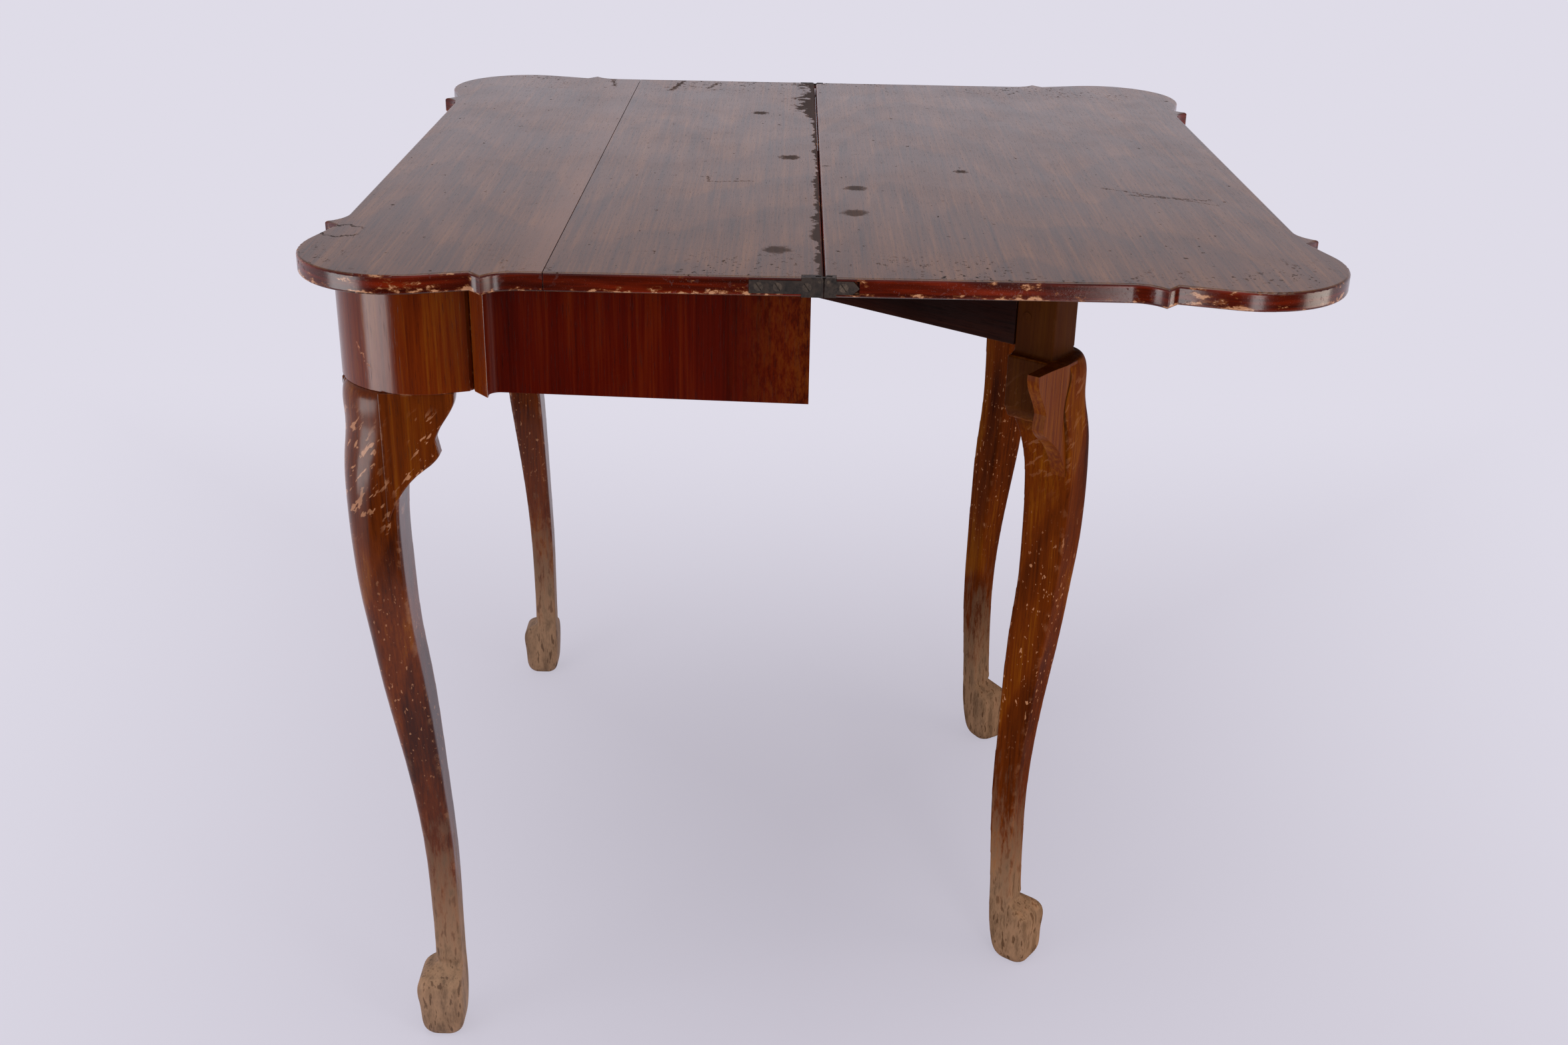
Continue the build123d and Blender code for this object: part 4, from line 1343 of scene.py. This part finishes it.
@dataclass
class Studio:
    """Pale floor, pale surroundings and soft lamps."""

    floor_reach: float = 16.0
    floor_colour: Colour = (0.64, 0.62, 0.70)
    near_floor: Colour = (0.575, 0.552, 0.640)
    least_glow: float = 0.62
    backdrop: Colour = (0.738, 0.716, 0.806)
    fade_start: float = -0.3
    fade_end: float = 1.4
    ahead: tuple[float, float] = (0.4, 1.0)
    ambient: float = 0.65
    front_span: tuple[float, float] = (-0.2, 0.3)
    dark_side: float = 0.7
    room_colour: Colour = (0.80, 0.745, 0.76)
    paper_end: tuple[float, float] = (0.19, 0.31)
    above_paper: float = 0.62
    card_middle: Point = (1.05, 0.35, 0.36)
    card_half: tuple[float, float] = (1.15, 0.36)
    card_colour: Colour = (0.01, 0.01, 0.01)

    def seen_directly(self, shader: Shader) -> Socket:
        """1 for the rays of the camera and of mirror images."""
        rays = shader.add("ShaderNodeLightPath")
        return shader.maths("MAXIMUM", rays.outputs["Is Camera Ray"], rays.outputs["Is Glossy Ray"])

    def sheet(self, name: str, shape: bmesh.types.BMesh, material: bpy.types.Material) -> bpy.types.Object:
        """Makes one of the studio's own flat sheets.

        Args:
            name: The sheet's name.
            shape: Its shape, which is freed.
            material: Its material.

        Returns:
            The new sheet.
        """
        mesh = bpy.data.meshes.new(name)
        shape.to_mesh(mesh)
        shape.free()
        mesh.materials.append(material)
        sheet = bpy.data.objects.new(name, mesh)
        bpy.context.scene.collection.objects.link(sheet)
        return sheet

    def floor_material(self) -> bpy.types.Material:
        """Pale paper that takes shadows and runs out into the backdrop's colour.

        Returns:
            The finished material.
        """
        shader = Shader("floor paper")
        shader.surface.inputs["Base Color"].default_value = (*self.floor_colour, 1.0)
        shader.surface.inputs["Roughness"].default_value = 0.9
        shader.surface.inputs["Specular IOR Level"].default_value = 0.0
        reach = shader.largest(
            shader.times(shader.x, -1.0), shader.maths("ABSOLUTE", shader.y),
            shader.span(shader.x, *self.ahead, self.fade_start, self.fade_end))
        far = shader.span(reach, self.fade_start, self.fade_end)
        share = shader.span(reach, self.fade_start, self.fade_end, self.least_glow, 1.0)
        glow = shader.add("ShaderNodeEmission")
        shader.join(shader.mix(far, self.near_floor, self.backdrop), glow.inputs["Color"])
        both = shader.add("ShaderNodeMixShader")
        shader.join(shader.times(share, self.seen_directly(shader)), both.inputs[0])
        shader.join(shader.surface.outputs["BSDF"], both.inputs[1])
        shader.join(glow.outputs["Emission"], both.inputs[2])
        shader.join(both.outputs["Shader"], shader.output.inputs["Surface"])
        return shader.material

    def build_floor(self) -> None:
        """Lays the floor."""
        shape = bmesh.new()
        bmesh.ops.create_grid(shape, x_segments=1, y_segments=1, size=self.floor_reach)
        floor = self.sheet("floor", shape, self.floor_material())

    def build_dark_card(self) -> None:
        """Stands a black card in front of the table, which only its polish can see."""
        shape = bmesh.new()
        bmesh.ops.create_grid(shape, x_segments=1, y_segments=1, size=1.0)
        upright = Matrix.Rotation(math.pi / 2, 4, "Y")
        bmesh.ops.transform(shape, matrix=upright, verts=shape.verts)
        bmesh.ops.scale(shape, vec=(1.0, *self.card_half), verts=shape.verts)
        bmesh.ops.translate(shape, vec=self.card_middle, verts=shape.verts)
        shader = Shader("black card")
        shader.surface.inputs["Base Color"].default_value = (*self.card_colour, 1.0)
        shader.surface.inputs["Specular IOR Level"].default_value = 0.0
        card = self.sheet("dark_card", shape, shader.material)
        card.visible_camera = False
        card.visible_diffuse = False
        card.visible_shadow = False

    def paper(self, tree: bpy.types.NodeTree, colour: Colour, strength: float = 1.0) -> bpy.types.Node:
        """Adds surroundings of one colour.

        Args:
            tree: The world's nodes.
            colour: The colour.
            strength: How bright it is.

        Returns:
            The new node.
        """
        node = tree.nodes.new("ShaderNodeBackground")
        node.inputs["Color"].default_value = (*colour, 1.0)
        node.inputs["Strength"].default_value = strength
        return node

    def chosen(self, tree: bpy.types.NodeTree, share: Socket, otherwise: bpy.types.Node,
               then: bpy.types.Node) -> bpy.types.Node:
        """Adds a choice between two surroundings.

        Args:
            tree: The world's nodes.
            share: 1 where the second one is meant.
            otherwise: The first one.
            then: The second one.

        Returns:
            The new node.
        """
        node = tree.nodes.new("ShaderNodeMixShader")
        tree.links.new(share, node.inputs[0])
        tree.links.new(otherwise.outputs[0], node.inputs[1])
        tree.links.new(then.outputs[0], node.inputs[2])
        return node

    def mirrored_strength(self, tree: bpy.types.NodeTree) -> Socket:
        """How bright the polish sees the room: less towards +X and above the paper.

        Args:
            tree: The world's nodes.

        Returns:
            The strength's socket.
        """
        place = tree.nodes.new("ShaderNodeTexCoord")
        axes = tree.nodes.new("ShaderNodeSeparateXYZ")
        tree.links.new(place.outputs["Generated"], axes.inputs[0])
        both = tree.nodes.new("ShaderNodeMath")
        both.operation = "MULTIPLY"
        spans = (("X", self.front_span, self.dark_side), ("Z", self.paper_end, self.above_paper))
        for socket, (axis, span, end) in zip(both.inputs, spans):
            share = tree.nodes.new("ShaderNodeMapRange")
            share.interpolation_type = "SMOOTHSTEP"
            tree.links.new(axes.outputs[axis], share.inputs["Value"])
            share.inputs["From Min"].default_value, share.inputs["From Max"].default_value = span
            share.inputs["To Min"].default_value = 1.0
            share.inputs["To Max"].default_value = end
            tree.links.new(share.outputs["Result"], socket)
        return both.outputs[0]

    def build_surroundings(self) -> None:
        """Sets the light and the colour of the room."""
        world = bpy.data.worlds.new("studio")
        world.use_nodes = True
        tree = world.node_tree
        tree.nodes.clear()
        output = tree.nodes.new("ShaderNodeOutputWorld")
        seen = self.paper(tree, self.backdrop)
        lit = self.paper(tree, self.room_colour, self.ambient)
        mirrored = self.paper(tree, self.backdrop)
        tree.links.new(self.mirrored_strength(tree), mirrored.inputs["Strength"])
        rays = tree.nodes.new("ShaderNodeLightPath")
        polished = self.chosen(tree, rays.outputs["Is Glossy Ray"], lit, mirrored)
        direct = self.chosen(tree, rays.outputs["Is Camera Ray"], polished, seen)
        tree.links.new(direct.outputs[0], output.inputs["Surface"])
        bpy.context.scene.world = world

    def build(self) -> None:
        """Sets up the studio."""
        self.build_floor()
        self.build_dark_card()
        self.build_surroundings()
        for lamp in (
            Lamp("left panel", (1.175, -1.60, 0.37), (0.38, -0.33, 0.37), 0.98, 0.7, 12.5),
            Lamp("strip panel", (0.86, 0.36, 0.38), (0.40, -0.28, 0.38), 0.16, 0.6, 2.0),
            Lamp("high softbox", (0.4, -0.1, 3.1), (0.0, 0.0, 0.7), 2.6, 2.6, 50.0),
            Lamp("right panel", (0.75, 2.1, 0.38), (0.25, 0.1, 0.38), 1.1, 0.7, 15.0, (1.0, 0.90, 0.78)),
        ):
            lamp.build()
        bpy.context.scene.view_settings.view_transform = "Standard"


@dataclass
class PhotoCamera:
    """The camera, at the place from which the table was seen."""

    place: Point = (1.61966, -0.02614, 1.09813)
    yaw: float = 0.0003
    pitch: float = 0.4249
    roll: float = 0.0198
    focal_pixels: float = 2600.0
    image_width: float = 2353.0
    sensor_width: float = 36.0

    def axes(self) -> Matrix:
        """The camera's right, up and backward directions.

        Returns:
            A 3 by 3 matrix with those directions as its columns.
        """
        ahead, right, up = Vector((-1, 0, 0)), Vector((0, 1, 0)), Vector((0, 0, 1))
        turned = ahead * math.cos(self.yaw) + right * math.sin(self.yaw)
        side = right * math.cos(self.yaw) - ahead * math.sin(self.yaw)
        look = turned * math.cos(self.pitch) - up * math.sin(self.pitch)
        top = up * math.cos(self.pitch) + turned * math.sin(self.pitch)
        rolled_side = side * math.cos(self.roll) + top * math.sin(self.roll)
        rolled_top = top * math.cos(self.roll) - side * math.sin(self.roll)
        return Matrix((rolled_side, rolled_top, -look)).transposed()

    def build(self) -> None:
        """Makes the camera and sets it as the scene's."""
        data = bpy.data.cameras.new("photo camera")
        data.sensor_width = self.sensor_width
        data.lens = self.focal_pixels * self.sensor_width / self.image_width
        camera = bpy.data.objects.new("photo camera", data)
        camera.matrix_world = Matrix.Translation(self.place) @ self.axes().to_4x4()
        bpy.context.scene.collection.objects.link(camera)
        bpy.context.scene.camera = camera


def main() -> None:
    """Builds the camera, the studio and the table's sub-assemblies in order."""
    logging.basicConfig(level=logging.INFO, format="%(name)s: %(message)s")
    book = FinishBook()
    PhotoCamera().build()
    Studio().build()
    for kind in (TableTop, Apron, InnerWork, FrontLegs, Gates, TopHinges):
        LOG.info("building %s", kind.__name__)
        kind(book).build()


if __name__ == "__main__":
    main()
